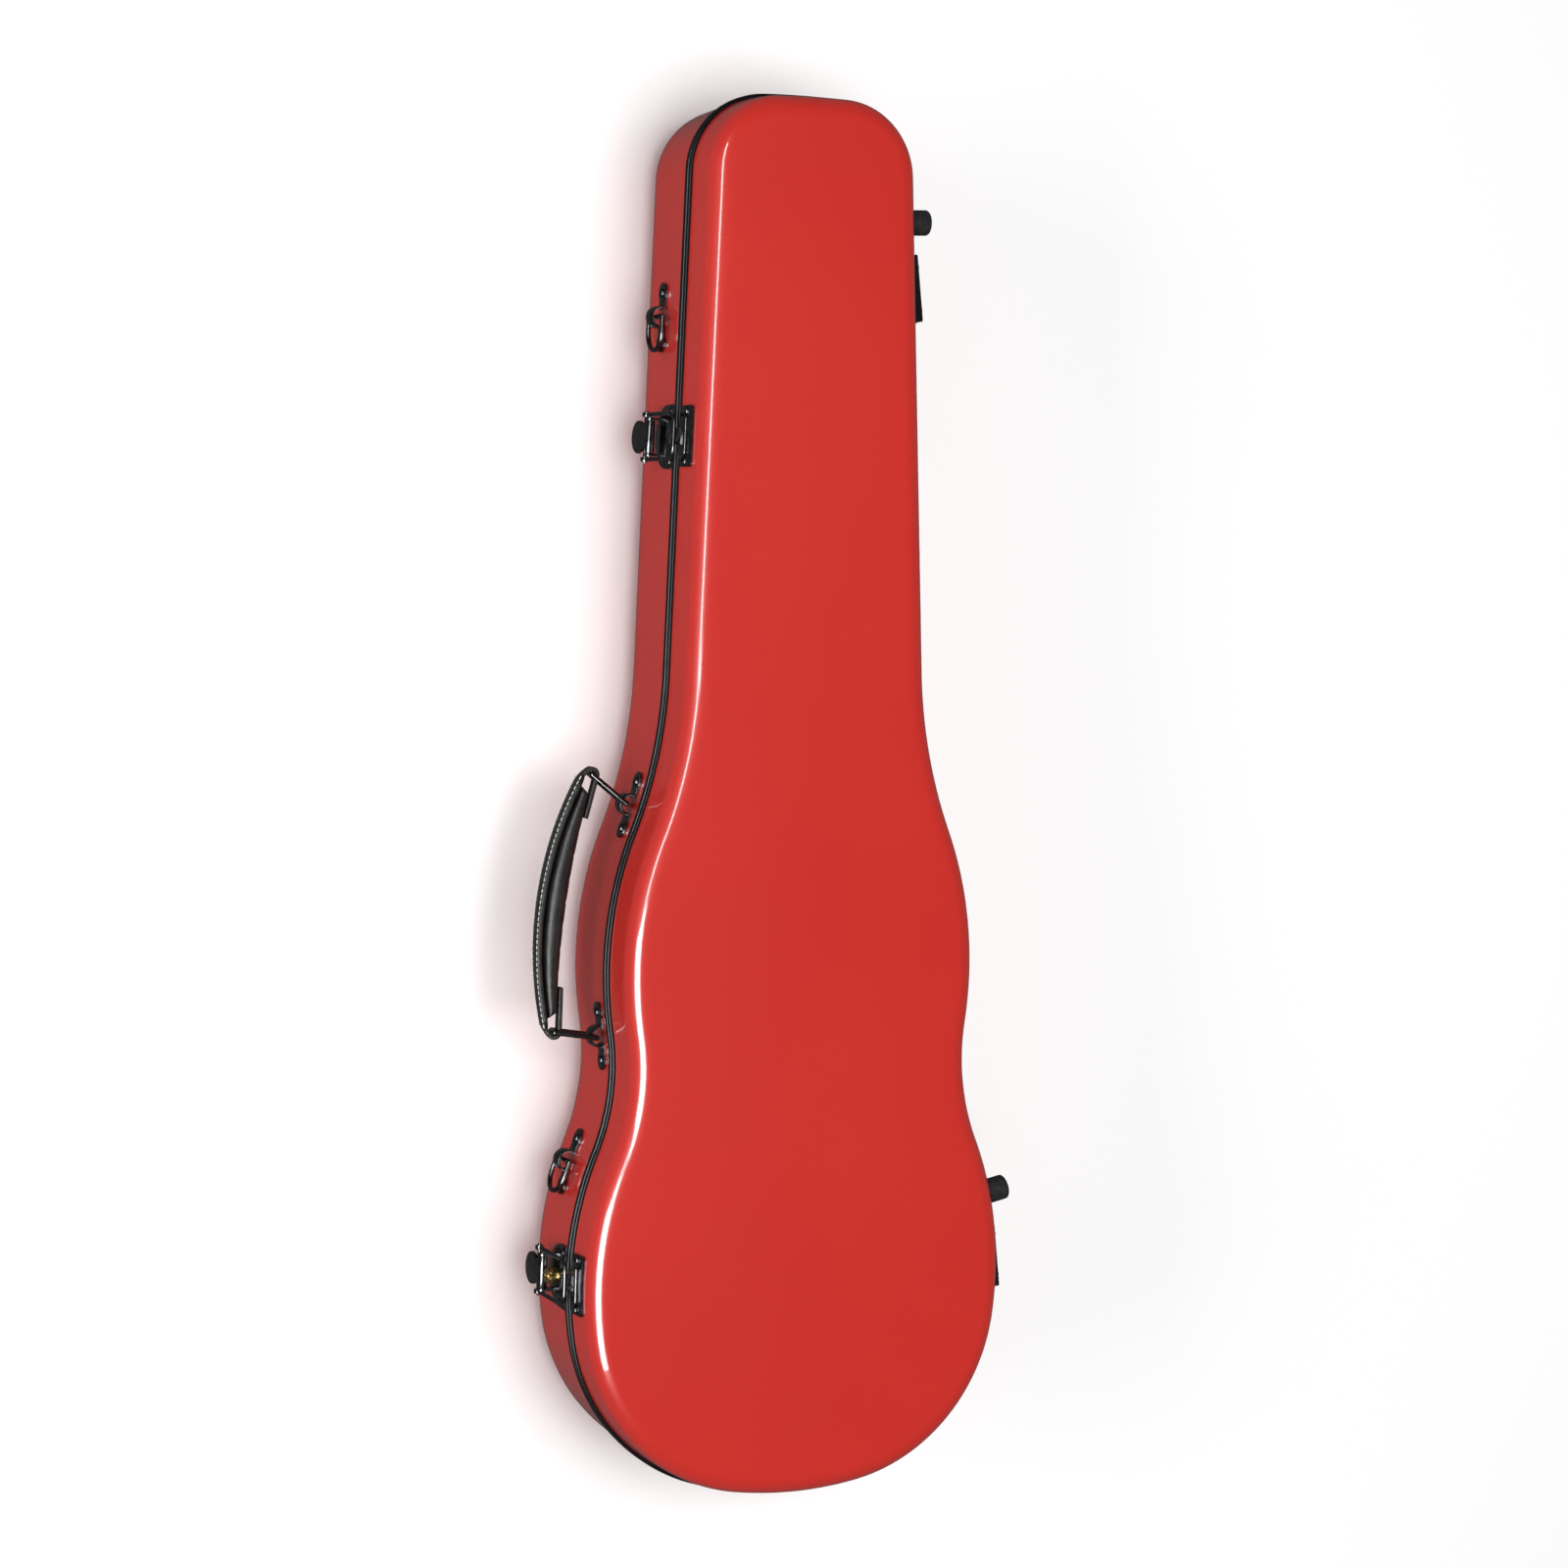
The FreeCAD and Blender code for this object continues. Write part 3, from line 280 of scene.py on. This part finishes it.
def bead(name, node, body, profile, slot):
    """A band with a closed profile of (offset, height) points that follows the outline."""
    vertices = []
    faces = []
    rings = [ring(offset, height) for offset, height in profile]
    starts = add_ring_strip(vertices, faces, rings)
    count = len(rings[0])
    for k in range(count):
        n = (k + 1) % count
        faces.append((starts[-1] + k, starts[-1] + n, starts[0] + n, starts[0] + k))
    obj = new_object(name, vertices, faces, body, slot)
    mark_sharp_edges(obj)
    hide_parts(node)


# ---------------------------------------------------------------- materials

def node_material(name):
    material = bpy.data.materials.new(name)
    material.use_nodes = True
    tree = material.node_tree
    return material, tree, tree.nodes["Principled BSDF"]


def add_bump(tree, shader, texture_output, strength, distance, target="Normal"):
    bump = tree.nodes.new("ShaderNodeBump")
    bump.inputs["Strength"].default_value = strength
    bump.inputs["Distance"].default_value = distance
    tree.links.new(texture_output, bump.inputs["Height"])
    tree.links.new(bump.outputs["Normal"], shader.inputs[target])


def texture(tree, kind, scale, **settings):
    coordinates = tree.nodes.new("ShaderNodeTexCoord")
    node = tree.nodes.new(kind)
    node.inputs["Scale"].default_value = scale
    for key, value in settings.items():
        node.inputs[key].default_value = value
    tree.links.new(coordinates.outputs["Object"], node.inputs["Vector"])
    return node


def tint(tree, shader, source, low, high, first=0.3, last=0.7):
    """Colour between low and high by a texture."""
    ramp = tree.nodes.new("ShaderNodeValToRGB")
    ramp.color_ramp.elements[0].position = first
    ramp.color_ramp.elements[1].position = last
    ramp.color_ramp.elements[0].color = (*low, 1)
    ramp.color_ramp.elements[1].color = (*high, 1)
    tree.links.new(source, ramp.inputs["Fac"])
    tree.links.new(ramp.outputs["Color"], shader.inputs["Base Color"])


def vary_roughness(tree, shader, source, low, high):
    spread = tree.nodes.new("ShaderNodeMapRange")
    spread.inputs["To Min"].default_value = low
    spread.inputs["To Max"].default_value = high
    tree.links.new(source, spread.inputs["Value"])
    tree.links.new(spread.outputs["Result"], shader.inputs["Roughness"])


def gelcoat():
    """Glossy pigmented gelcoat under clear lacquer, with a trace of orange peel."""
    material, tree, shader = node_material("red_gelcoat")
    broad = texture(tree, "ShaderNodeTexNoise", 6.0, Detail=2.0)
    tint(tree, shader, broad.outputs["Fac"], (0.50, 0.022, 0.016), (0.53, 0.025, 0.018))
    vary_roughness(tree, shader, broad.outputs["Fac"], 0.26, 0.32)
    shader.inputs["Coat Weight"].default_value = 1.0
    shader.inputs["Coat Roughness"].default_value = 0.035
    shader.inputs["Coat IOR"].default_value = 1.5
    shader.inputs["Specular IOR Level"].default_value = 0.3
    peel = texture(tree, "ShaderNodeTexNoise", 160.0, Detail=1.0)
    add_bump(tree, shader, peel.outputs["Fac"], 0.02, 0.0004, "Coat Normal")
    return material


def dark_metal():
    """Black nickel: dark, polished, with faint wear in its gloss."""
    material, tree, shader = node_material("black_nickel_metal")
    wear = texture(tree, "ShaderNodeTexNoise", 220.0, Detail=5.0)
    tint(tree, shader, wear.outputs["Fac"], (0.075, 0.075, 0.08), (0.15, 0.15, 0.155))
    vary_roughness(tree, shader, wear.outputs["Fac"], 0.12, 0.26)
    shader.inputs["Metallic"].default_value = 1.0
    return material


def plain_metal(name, low, high, rough):
    material, tree, shader = node_material(name)
    wear = texture(tree, "ShaderNodeTexNoise", 300.0, Detail=6.0)
    tint(tree, shader, wear.outputs["Fac"], low, high)
    vary_roughness(tree, shader, wear.outputs["Fac"], rough * 0.7, rough * 1.3)
    shader.inputs["Metallic"].default_value = 1.0
    return material


def leather():
    """Smooth black leather with fine grain and creases."""
    material, tree, shader = node_material("leather")
    grain = texture(tree, "ShaderNodeTexVoronoi", 900.0)
    crease = texture(tree, "ShaderNodeTexNoise", 120.0, Detail=6.0)
    tint(tree, shader, crease.outputs["Fac"], (0.006, 0.0058, 0.0056), (0.017, 0.016, 0.0155))
    vary_roughness(tree, shader, crease.outputs["Fac"], 0.34, 0.5)
    shader.inputs["Specular IOR Level"].default_value = 0.35
    mix = tree.nodes.new("ShaderNodeMath")
    mix.operation = "ADD"
    tree.links.new(grain.outputs["Distance"], mix.inputs[0])
    tree.links.new(crease.outputs["Fac"], mix.inputs[1])
    add_bump(tree, shader, mix.outputs["Value"], 0.25, 0.0004)
    return material


def rubber(name, low, high, rough, scale=500.0):
    material, tree, shader = node_material(name)
    fine = texture(tree, "ShaderNodeTexNoise", scale, Detail=4.0)
    tint(tree, shader, fine.outputs["Fac"], low, high)
    vary_roughness(tree, shader, fine.outputs["Fac"], rough * 0.85, rough * 1.15)
    shader.inputs["Specular IOR Level"].default_value = 0.25
    add_bump(tree, shader, fine.outputs["Fac"], 0.1, 0.0002)
    return material


def plush():
    """Short black pile: dark, matt, with a soft sheen and brushed patches."""
    material, tree, shader = node_material("plush")
    pile = texture(tree, "ShaderNodeTexNoise", 1400.0, Detail=4.0)
    brushed = texture(tree, "ShaderNodeTexNoise", 18.0, Detail=5.0, Distortion=1.2)
    tint(tree, shader, brushed.outputs["Fac"], (0.010, 0.010, 0.012), (0.035, 0.035, 0.040))
    shader.inputs["Roughness"].default_value = 0.95
    shader.inputs["Specular IOR Level"].default_value = 0.1
    shader.inputs["Sheen Weight"].default_value = 0.5
    shader.inputs["Sheen Roughness"].default_value = 0.4
    add_bump(tree, shader, pile.outputs["Fac"], 0.6, 0.0008)
    return material


def thread():
    material, tree, shader = node_material("stitch_thread")
    twist = texture(tree, "ShaderNodeTexWave", 2500.0)
    tint(tree, shader, twist.outputs["Fac"], (0.62, 0.62, 0.60), (0.85, 0.85, 0.82))
    shader.inputs["Roughness"].default_value = 0.7
    add_bump(tree, shader, twist.outputs["Fac"], 0.4, 0.0001)
    return material


MATERIALS = {
    "red_shell": gelcoat(),
    "rim_black": rubber("rim_black_rubber", (0.003, 0.0035, 0.0045), (0.005, 0.0055, 0.007), 0.3, 40.0),
    # The seal between the two black beads is a real part, but its light grey tone is a painted highlight that
    # stands in for the beads' reflection of the left lights.
    "gasket_grey": rubber("gasket_painted_highlight_grey", (0.36, 0.42, 0.44), (0.48, 0.54, 0.56), 0.35),
    "plush_black": plush(),
    "black_nickel": dark_metal(),
    "brass": plain_metal("polished_brass", (0.62, 0.42, 0.14), (0.80, 0.58, 0.24), 0.22),
    "leather_black": leather(),
    "rubber_black": rubber("foot_rubber", (0.010, 0.010, 0.011), (0.026, 0.026, 0.028), 0.55),
    "steel": plain_metal("satin_steel", (0.40, 0.40, 0.42), (0.58, 0.58, 0.60), 0.3),
    "plastic_black": rubber("moulded_plastic", (0.012, 0.012, 0.013), (0.024, 0.024, 0.025), 0.4, 900.0),
}
THREAD = thread()


def dress_cad_nodes():
    """Every CAD node gets its material, softened edges and clean shading."""
    for entry in frame["record"]["subparts"]:
        obj = NODES[entry["node"]]
        obj.data.materials.clear()
        obj.data.materials.append(MATERIALS[entry["material_slot"]])
        weld = obj.modifiers.new("Weld", "WELD")
        weld.merge_threshold = WELD_METRES
        bevel = obj.modifiers.new("Edges", "BEVEL")
        bevel.width = BEVEL_METRES
        bevel.segments = 2
        bevel.limit_method = "ANGLE"
        bevel.angle_limit = BEVEL_ANGLE
        bevel.harden_normals = True
        for polygon in obj.data.polygons:
            polygon.use_smooth = True


# ---------------------------------------------------------------- shells and rims

def make_shells():
    shell("base_shell_moulding", "base_shell", "base", SEAM, Top(0.0), BASE_DRAFT, BASE_EDGE, WALL)
    shell("lid_shell_moulding", "lid_shell", "lid", SEAM + LID_LIFT, Top(LID_TOP, CROWN_RADIUS), LID_DRAFT,
          LID_EDGE, WALL)


def round_profile(inner, outer, low, high, radius, steps=5):
    """A band's profile, rounded on its two outer corners."""
    points = [(inner, low)]
    for corner_z, first in ((low + radius, -90.0), (high - radius, 0.0)):
        for k in range(steps + 1):
            angle = math.radians(first + 90.0 * k / steps)
            points.append((outer - radius + radius * math.cos(angle), corner_z + radius * math.sin(angle)))
    points.append((inner, high))
    return points


def make_rims():
    inner = 0.02
    proud = 1.6
    tall = 3.4
    rounding = 1.1
    half_gasket = 0.4
    base_top = SEAM - half_gasket
    lid_low = SEAM + half_gasket + 0.05
    low = round_profile(inner, proud, base_top - tall, base_top, rounding)
    high = round_profile(inner, proud, lid_low, lid_low + tall, rounding)
    bead("base_rim_bead", "base_rim", "base", low, "rim_black")
    bead("lid_rim_bead", "lid_rim", "lid", high, "rim_black")


def make_lining():
    gap = 0.3
    edge_lift = 0.3
    inset = WALL + gap
    thick = 3.0
    top = Top(LID_TOP - inset, CROWN_RADIUS - inset)
    obj = shell("lid_lining_plush", "lid_lining", "lid", SEAM + edge_lift, top, LID_DRAFT, LID_EDGE - inset,
                thick, inset, "plush_black")


# ---------------------------------------------------------------- soft pieces

def puffed_copy(name, node, voxel, smooth_steps, slot):
    """A soft piece grown from its CAD solid: remeshed and relaxed."""
    source = NODES[node]
    mesh = source.data.copy()
    obj = bpy.data.objects.new(name, mesh)
    bpy.context.scene.collection.objects.link(obj)
    bm = bmesh.new()
    bm.from_mesh(mesh)
    bmesh.ops.remove_doubles(bm, verts=bm.verts, dist=WELD_METRES)
    bm.to_mesh(mesh)
    bm.free()
    remesh = obj.modifiers.new("Remesh", "REMESH")
    remesh.mode = "VOXEL"
    remesh.voxel_size = voxel
    smooth = obj.modifiers.new("Relax", "SMOOTH")
    smooth.iterations = smooth_steps
    smooth.factor = 0.5
    graph = bpy.context.evaluated_depsgraph_get()
    graph.update()
    baked = bpy.data.meshes.new_from_object(obj.evaluated_get(graph))
    obj.modifiers.clear()
    obj.data = baked
    for polygon in baked.polygons:
        polygon.use_smooth = True
    baked.materials.clear()
    baked.materials.append(MATERIALS[slot])
    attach(obj, node_body(node))
    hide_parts(node)


def node_body(node):
    for body, members in frame["record"]["behaviour"]["bodies"].items():
        if node in members:
            return body
    raise ValueError(node)


def make_soft_pieces():
    for name, node, voxel, smooth_steps, fill in (
            ("bed_plush", "foam_bed", 0.0028, 6, 0.8),
            ("lower_cushion_plush", "lower_cushion", 0.0016, 10, 0.9),
            ("upper_cushion_plush", "upper_cushion", 0.0016, 10, 0.9),
            ("neck_cradle_plush", "neck_cradle", 0.0016, 8, 0.9),
            ("bow_rest_plush", "bow_rest", 0.0014, 6, 0.9),
            ("accessory_lid_plush", "accessory_lid", 0.0010, 5, 0.7),
            ("neck_strap_webbing", "neck_strap", 0.0005, 2, 0.3)):
        puffed_copy(name, node, voxel, smooth_steps, "plush_black")


# ---------------------------------------------------------------- handle

HANDLE_ENDS = (Vector((-91.006, -0.884, 62.0)), Vector((-108.317, -132.410, 64.0)))
LINK_REACHES = (Vector((-19.5, 16.5, 0)), Vector((-24.0, 3.5, 0)))
DROOP = math.radians(12.0)
BOW_DEPTH = 13.0
STRAP_THICK = 2.6
GRIP_WIDTH = 22.0
GRIP_END = 7.0
GRIP_THICK = 9.5
GRIP_SAG = 0.8
GRIP_LIFT = 3.0
STRAP_LIFT = 3.2
STRAP_END = 1.5
LOOP_WIRE = 1.8
LOOP_WIDTH = 10.7
TAB_LENGTH = 25.0
TAB_RISE = 2.9
TAB_OUTWARD = Vector((-0.115, -0.993, 0))


def handle_frame():
    """The handle's own frame: X along it, Y outwards, Z up, and its half length."""
    upper, lower = HANDLE_ENDS
    along = (upper - lower).normalized()
    outer_upper = upper + LINK_REACHES[0]
    outer_lower = lower + LINK_REACHES[1]
    chord = outer_upper - outer_lower
    x_axis = chord.normalized()
    z_axis = (Vector((0, 0, 1)) - x_axis * x_axis.z).normalized()
    y_axis = z_axis.cross(x_axis)
    middle = (outer_upper + outer_lower) / 2
    matrix = Matrix((x_axis, y_axis, z_axis)).transposed().to_4x4()
    matrix.translation = middle
    swing = Matrix.Translation(lower) @ Matrix.Rotation(-DROOP, 4, along) @ Matrix.Translation(-lower)
    return swing @ matrix, chord.length / 2


def bow_radius(half):
    """The radius of an arc that rises by BOW_DEPTH between the handle's two ends."""
    return (half * half + BOW_DEPTH * BOW_DEPTH) / (2 * BOW_DEPTH)


def bow_point(half, angle_share, lift):
    """A point on the strap's outer arc, and its outward direction."""
    radius = bow_radius(half)
    reach = math.asin(half / radius)
    angle = reach * angle_share
    centre_y = BOW_DEPTH + STRAP_LIFT - radius
    outward = Vector((math.sin(angle), math.cos(angle), 0))
    return Vector((0, centre_y, 0)) + outward * (radius + lift), outward


def make_grip():
    """The padded grip: a stuffed lens of leather under the strap, creased across its inner side."""
    placed, half = handle_frame()
    radius = bow_radius(half)
    centre_y = BOW_DEPTH + GRIP_LIFT - radius
    reach = half - GRIP_END
    turn = math.asin(reach / radius)
    stations = 72
    sides = 28
    inner_rise = BOW_DEPTH - GRIP_THICK + GRIP_SAG
    skin_gap = 0.05
    thinnest = 0.5
    end_sharpness = 40
    crease_depth, crease_pitch, crease_sharpness = 0.03, 30.0, 8
    end_inset, end_flare, taper = 3.0, 2.0, 0.8
    squareness_across, squareness_down = 0.75, 0.8
    sections = []
    for k in range(stations + 1):
        share = -1 + 2 * k / stations
        outward = Vector((math.sin(turn * share), math.cos(turn * share), 0))
        top = Vector((0, centre_y, 0)) + outward * (radius - skin_gap)
        low = -GRIP_SAG + inner_rise * (1 - share * share)
        end = math.sqrt(max(0.0, 1 - abs(share) ** end_sharpness))
        fold = max(0.0, math.cos(share * crease_pitch)) ** crease_sharpness
        crease = 1 - crease_depth * fold * (1 - share * share)
        depth = (thinnest + (top.y - low - thinnest) * end) * crease
        width = (GRIP_WIDTH / 2 - end_inset) + end_flare * end - taper * share * share
        section = []
        for s in range(sides):
            angle = 2 * math.pi * s / sides
            c, t = math.cos(angle), math.sin(angle)
            across = width * math.copysign(abs(c) ** squareness_across, c)
            down = depth * (0.5 - 0.5 * math.copysign(abs(t) ** squareness_down, t))
            section.append(placed @ (top - outward * down + Vector((0, 0, across))))
        sections.append(section)
    obj = loft("handle_grip_pad", sections, "handle", "leather_black")
    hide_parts("handle_grip")


def rounded_bar(width, thick, radius=0.7, steps=4):
    """A band's cross-section as (across, through) points, with rounded corners."""
    points = []
    for cx, cy, first in ((1, 1, 0), (-1, 1, 90), (-1, -1, 180), (1, -1, 270)):
        for k in range(steps + 1):
            angle = math.radians(first + 90 * k / steps)
            points.append((cx * (width / 2 - radius) + radius * math.cos(angle),
                           cy * (thick / 2 - radius) + radius * math.sin(angle)))
    return points


def make_strap():
    """One leather band: over the grip, round each link and back under the grip's ends."""
    placed, half = handle_frame()
    radius = bow_radius(half)
    arc_reach = math.asin((half - STRAP_END) / radius)
    centre = Vector((0, BOW_DEPTH + STRAP_LIFT - radius, 0))
    loop = LOOP_WIRE + STRAP_THICK / 2
    arc_steps, taper_from, loop_steps, blend_steps, tab_steps = 60, 55, 24, 6, 12
    loop_lead = 4.0
    path = []
    for k in range(arc_steps + 1):
        angle = arc_reach * k / arc_steps
        outward = Vector((math.sin(angle), math.cos(angle), 0))
        narrowing = max(0, k - taper_from) / (arc_steps - taper_from)
        width = GRIP_WIDTH + (LOOP_WIDTH - GRIP_WIDTH) * narrowing ** 2
        path.append((centre + outward * (radius + STRAP_THICK / 2), outward, width))
    first = math.degrees(arc_reach) + loop_lead
    joined = path[-1][0]
    for k in range(1, loop_steps + 1):
        angle = math.radians(first + (180.0 - first) * k / loop_steps)
        outward = Vector((math.sin(angle), math.cos(angle), 0))
        place = Vector((half, 0, 0)) + outward * loop
        if k < blend_steps:
            place = joined.lerp(place, k / blend_steps)
        path.append((place, outward, LOOP_WIDTH))
    for k in range(1, tab_steps + 1):
        share = k / tab_steps
        place = Vector((half - TAB_LENGTH * share, -loop + TAB_RISE * share, 0))
        path.append((place, TAB_OUTWARD, LOOP_WIDTH))
    mirrored = [(Vector((-p.x, p.y, 0)), Vector((-n.x, n.y, 0)), w) for p, n, w in reversed(path[1:])]
    path = mirrored + path
    sections = [[placed @ (place + outward * through + Vector((0, 0, across)))
                 for across, through in rounded_bar(width, STRAP_THICK)] for place, outward, width in path]
    obj = loft("handle_strap_leather", sections, "handle", "leather_black")
    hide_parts("handle_strap", "handle_tabs")


def make_stitches():
    """Two rows of light thread along the strap's outer face, near its edges."""
    placed, half = handle_frame()
    vertices = []
    faces = []
    count = 46
    sides = 6
    reach = 0.97
    edge_inset = 1.6
    lift = 0.12
    flatness = 0.7
    profile = ((-1.2, 0.25), (-0.8, 0.5), (0.8, 0.5), (1.2, 0.25))
    across = Vector((0, 0, 1))
    for row in (-1, 1):
        for k in range(count):
            share = -reach + 2 * reach * (k + 0.5) / count
            centre, outward = bow_point(half, share, STRAP_THICK + lift)
            along = Vector((outward.y, -outward.x, 0))
            centre = centre + across * (row * (GRIP_WIDTH / 2 - edge_inset))
            rings = []
            for place, width in profile:
                points = []
                for s in range(sides):
                    angle = 2 * math.pi * s / sides
                    rim = outward * math.sin(angle) * width * flatness + across * math.cos(angle) * width
                    points.append(placed @ (centre + along * place + rim))
                rings.append(points)
            starts = add_ring_strip(vertices, faces, rings)
            faces.append(tuple(starts[0] + s for s in reversed(range(sides))))
            faces.append(tuple(starts[-1] + s for s in range(sides)))
    new_object("handle_stitches", vertices, faces, "handle", material=THREAD)


# ---------------------------------------------------------------- stage

CAMERA_TURN = math.radians(23.688)
CAMERA_RISE = math.radians(4.332)
CAMERA_ROLL = math.radians(0.759)
CAMERA_DISTANCE = 1996.7
CAMERA_SENSOR = 36.0
CAMERA_LENS = 80.55
CAMERA_SHIFT = (-0.0015, 0.011)
FLOOR_REACH_METRES = 6.0
FLOOR_DROP_METRES = 0.0005
WORLD_STRENGTH = 0.09


def make_camera():
    back = Vector((-math.sin(CAMERA_TURN) * math.cos(CAMERA_RISE), math.sin(CAMERA_RISE),
                   math.cos(CAMERA_TURN) * math.cos(CAMERA_RISE)))
    right = Vector((0, 1, 0)).cross(back).normalized()
    up = back.cross(right)
    turned_right = right * math.cos(CAMERA_ROLL) + up * math.sin(CAMERA_ROLL)
    turned_up = up * math.cos(CAMERA_ROLL) - right * math.sin(CAMERA_ROLL)
    data = bpy.data.cameras.new("camera")
    data.sensor_width = CAMERA_SENSOR
    data.lens = CAMERA_LENS
    data.shift_x, data.shift_y = CAMERA_SHIFT
    data.clip_start = 0.05
    data.clip_end = 50.0
    camera = bpy.data.objects.new("camera", data)
    bpy.context.scene.collection.objects.link(camera)
    place = (Vector((0, 0, SEAM)) + back * CAMERA_DISTANCE) * MM
    matrix = Matrix((turned_right, turned_up, back)).transposed().to_4x4()
    camera.matrix_world = Matrix.Translation(place) @ matrix
    bpy.context.scene.camera = camera


def area_light(name, place, target, size, power):
    data = bpy.data.lights.new(name, "AREA")
    data.shape = "RECTANGLE"
    data.size, data.size_y = size
    data.energy = power
    light = bpy.data.objects.new(name, data)
    bpy.context.scene.collection.objects.link(light)
    light.location = place
    light.rotation_euler = (Vector(target) - Vector(place)).to_track_quat("-Z", "Y").to_euler()
    return light


def make_stage():
    floor_mesh = bpy.data.meshes.new("floor")
    reach = FLOOR_REACH_METRES
    corners = [(-reach, -reach, 0), (reach, -reach, 0), (reach, reach, 0), (-reach, reach, 0)]
    floor_mesh.from_pydata(corners, [], [(0, 1, 2, 3)])
    floor = bpy.data.objects.new("floor", floor_mesh)
    floor.location.z = -FLOOR_DROP_METRES
    bpy.context.scene.collection.objects.link(floor)
    material, _, shader = node_material("pale_floor")
    shader.inputs["Base Color"].default_value = (0.93, 0.93, 0.93, 1)
    shader.inputs["Roughness"].default_value = 0.9
    shader.inputs["Specular IOR Level"].default_value = 0.1
    floor_mesh.materials.append(material)
    floor.visible_glossy = False
    world = bpy.data.worlds.new("studio")
    bpy.context.scene.world = world
    world.use_nodes = True
    background = world.node_tree.nodes["Background"]
    background.inputs["Color"].default_value = (1, 1, 1, 1)
    background.inputs["Strength"].default_value = WORLD_STRENGTH
    strip = area_light("neck_strip", (-1.2, 0.5, 1.3), (0, 0.3, 0.1), (1.5, 0.22), 16)
    softbox = area_light("body_softbox", (-1.25, -0.55, 1.3), (0, -0.2, 0.1), (1.2, 0.9), 60)
    overhead = area_light("overhead", (0.0, 0.0, 3.2), (0, 0, 0), (2.4, 2.2), 112)
    left_fill = area_light("left_fill", (-2.4, 0.0, 1.0), (0, 0, 0.05), (2.4, 1.0), 34)
    for light in (strip, softbox):
        light.visible_diffuse = False
    for light in (overhead, left_fill):
        light.visible_glossy = False
    bpy.context.scene.view_settings.view_transform = "Standard"


dress_cad_nodes()
make_shells()
make_rims()
make_lining()
make_soft_pieces()
make_grip()
make_strap()
make_stitches()
make_camera()
make_stage()
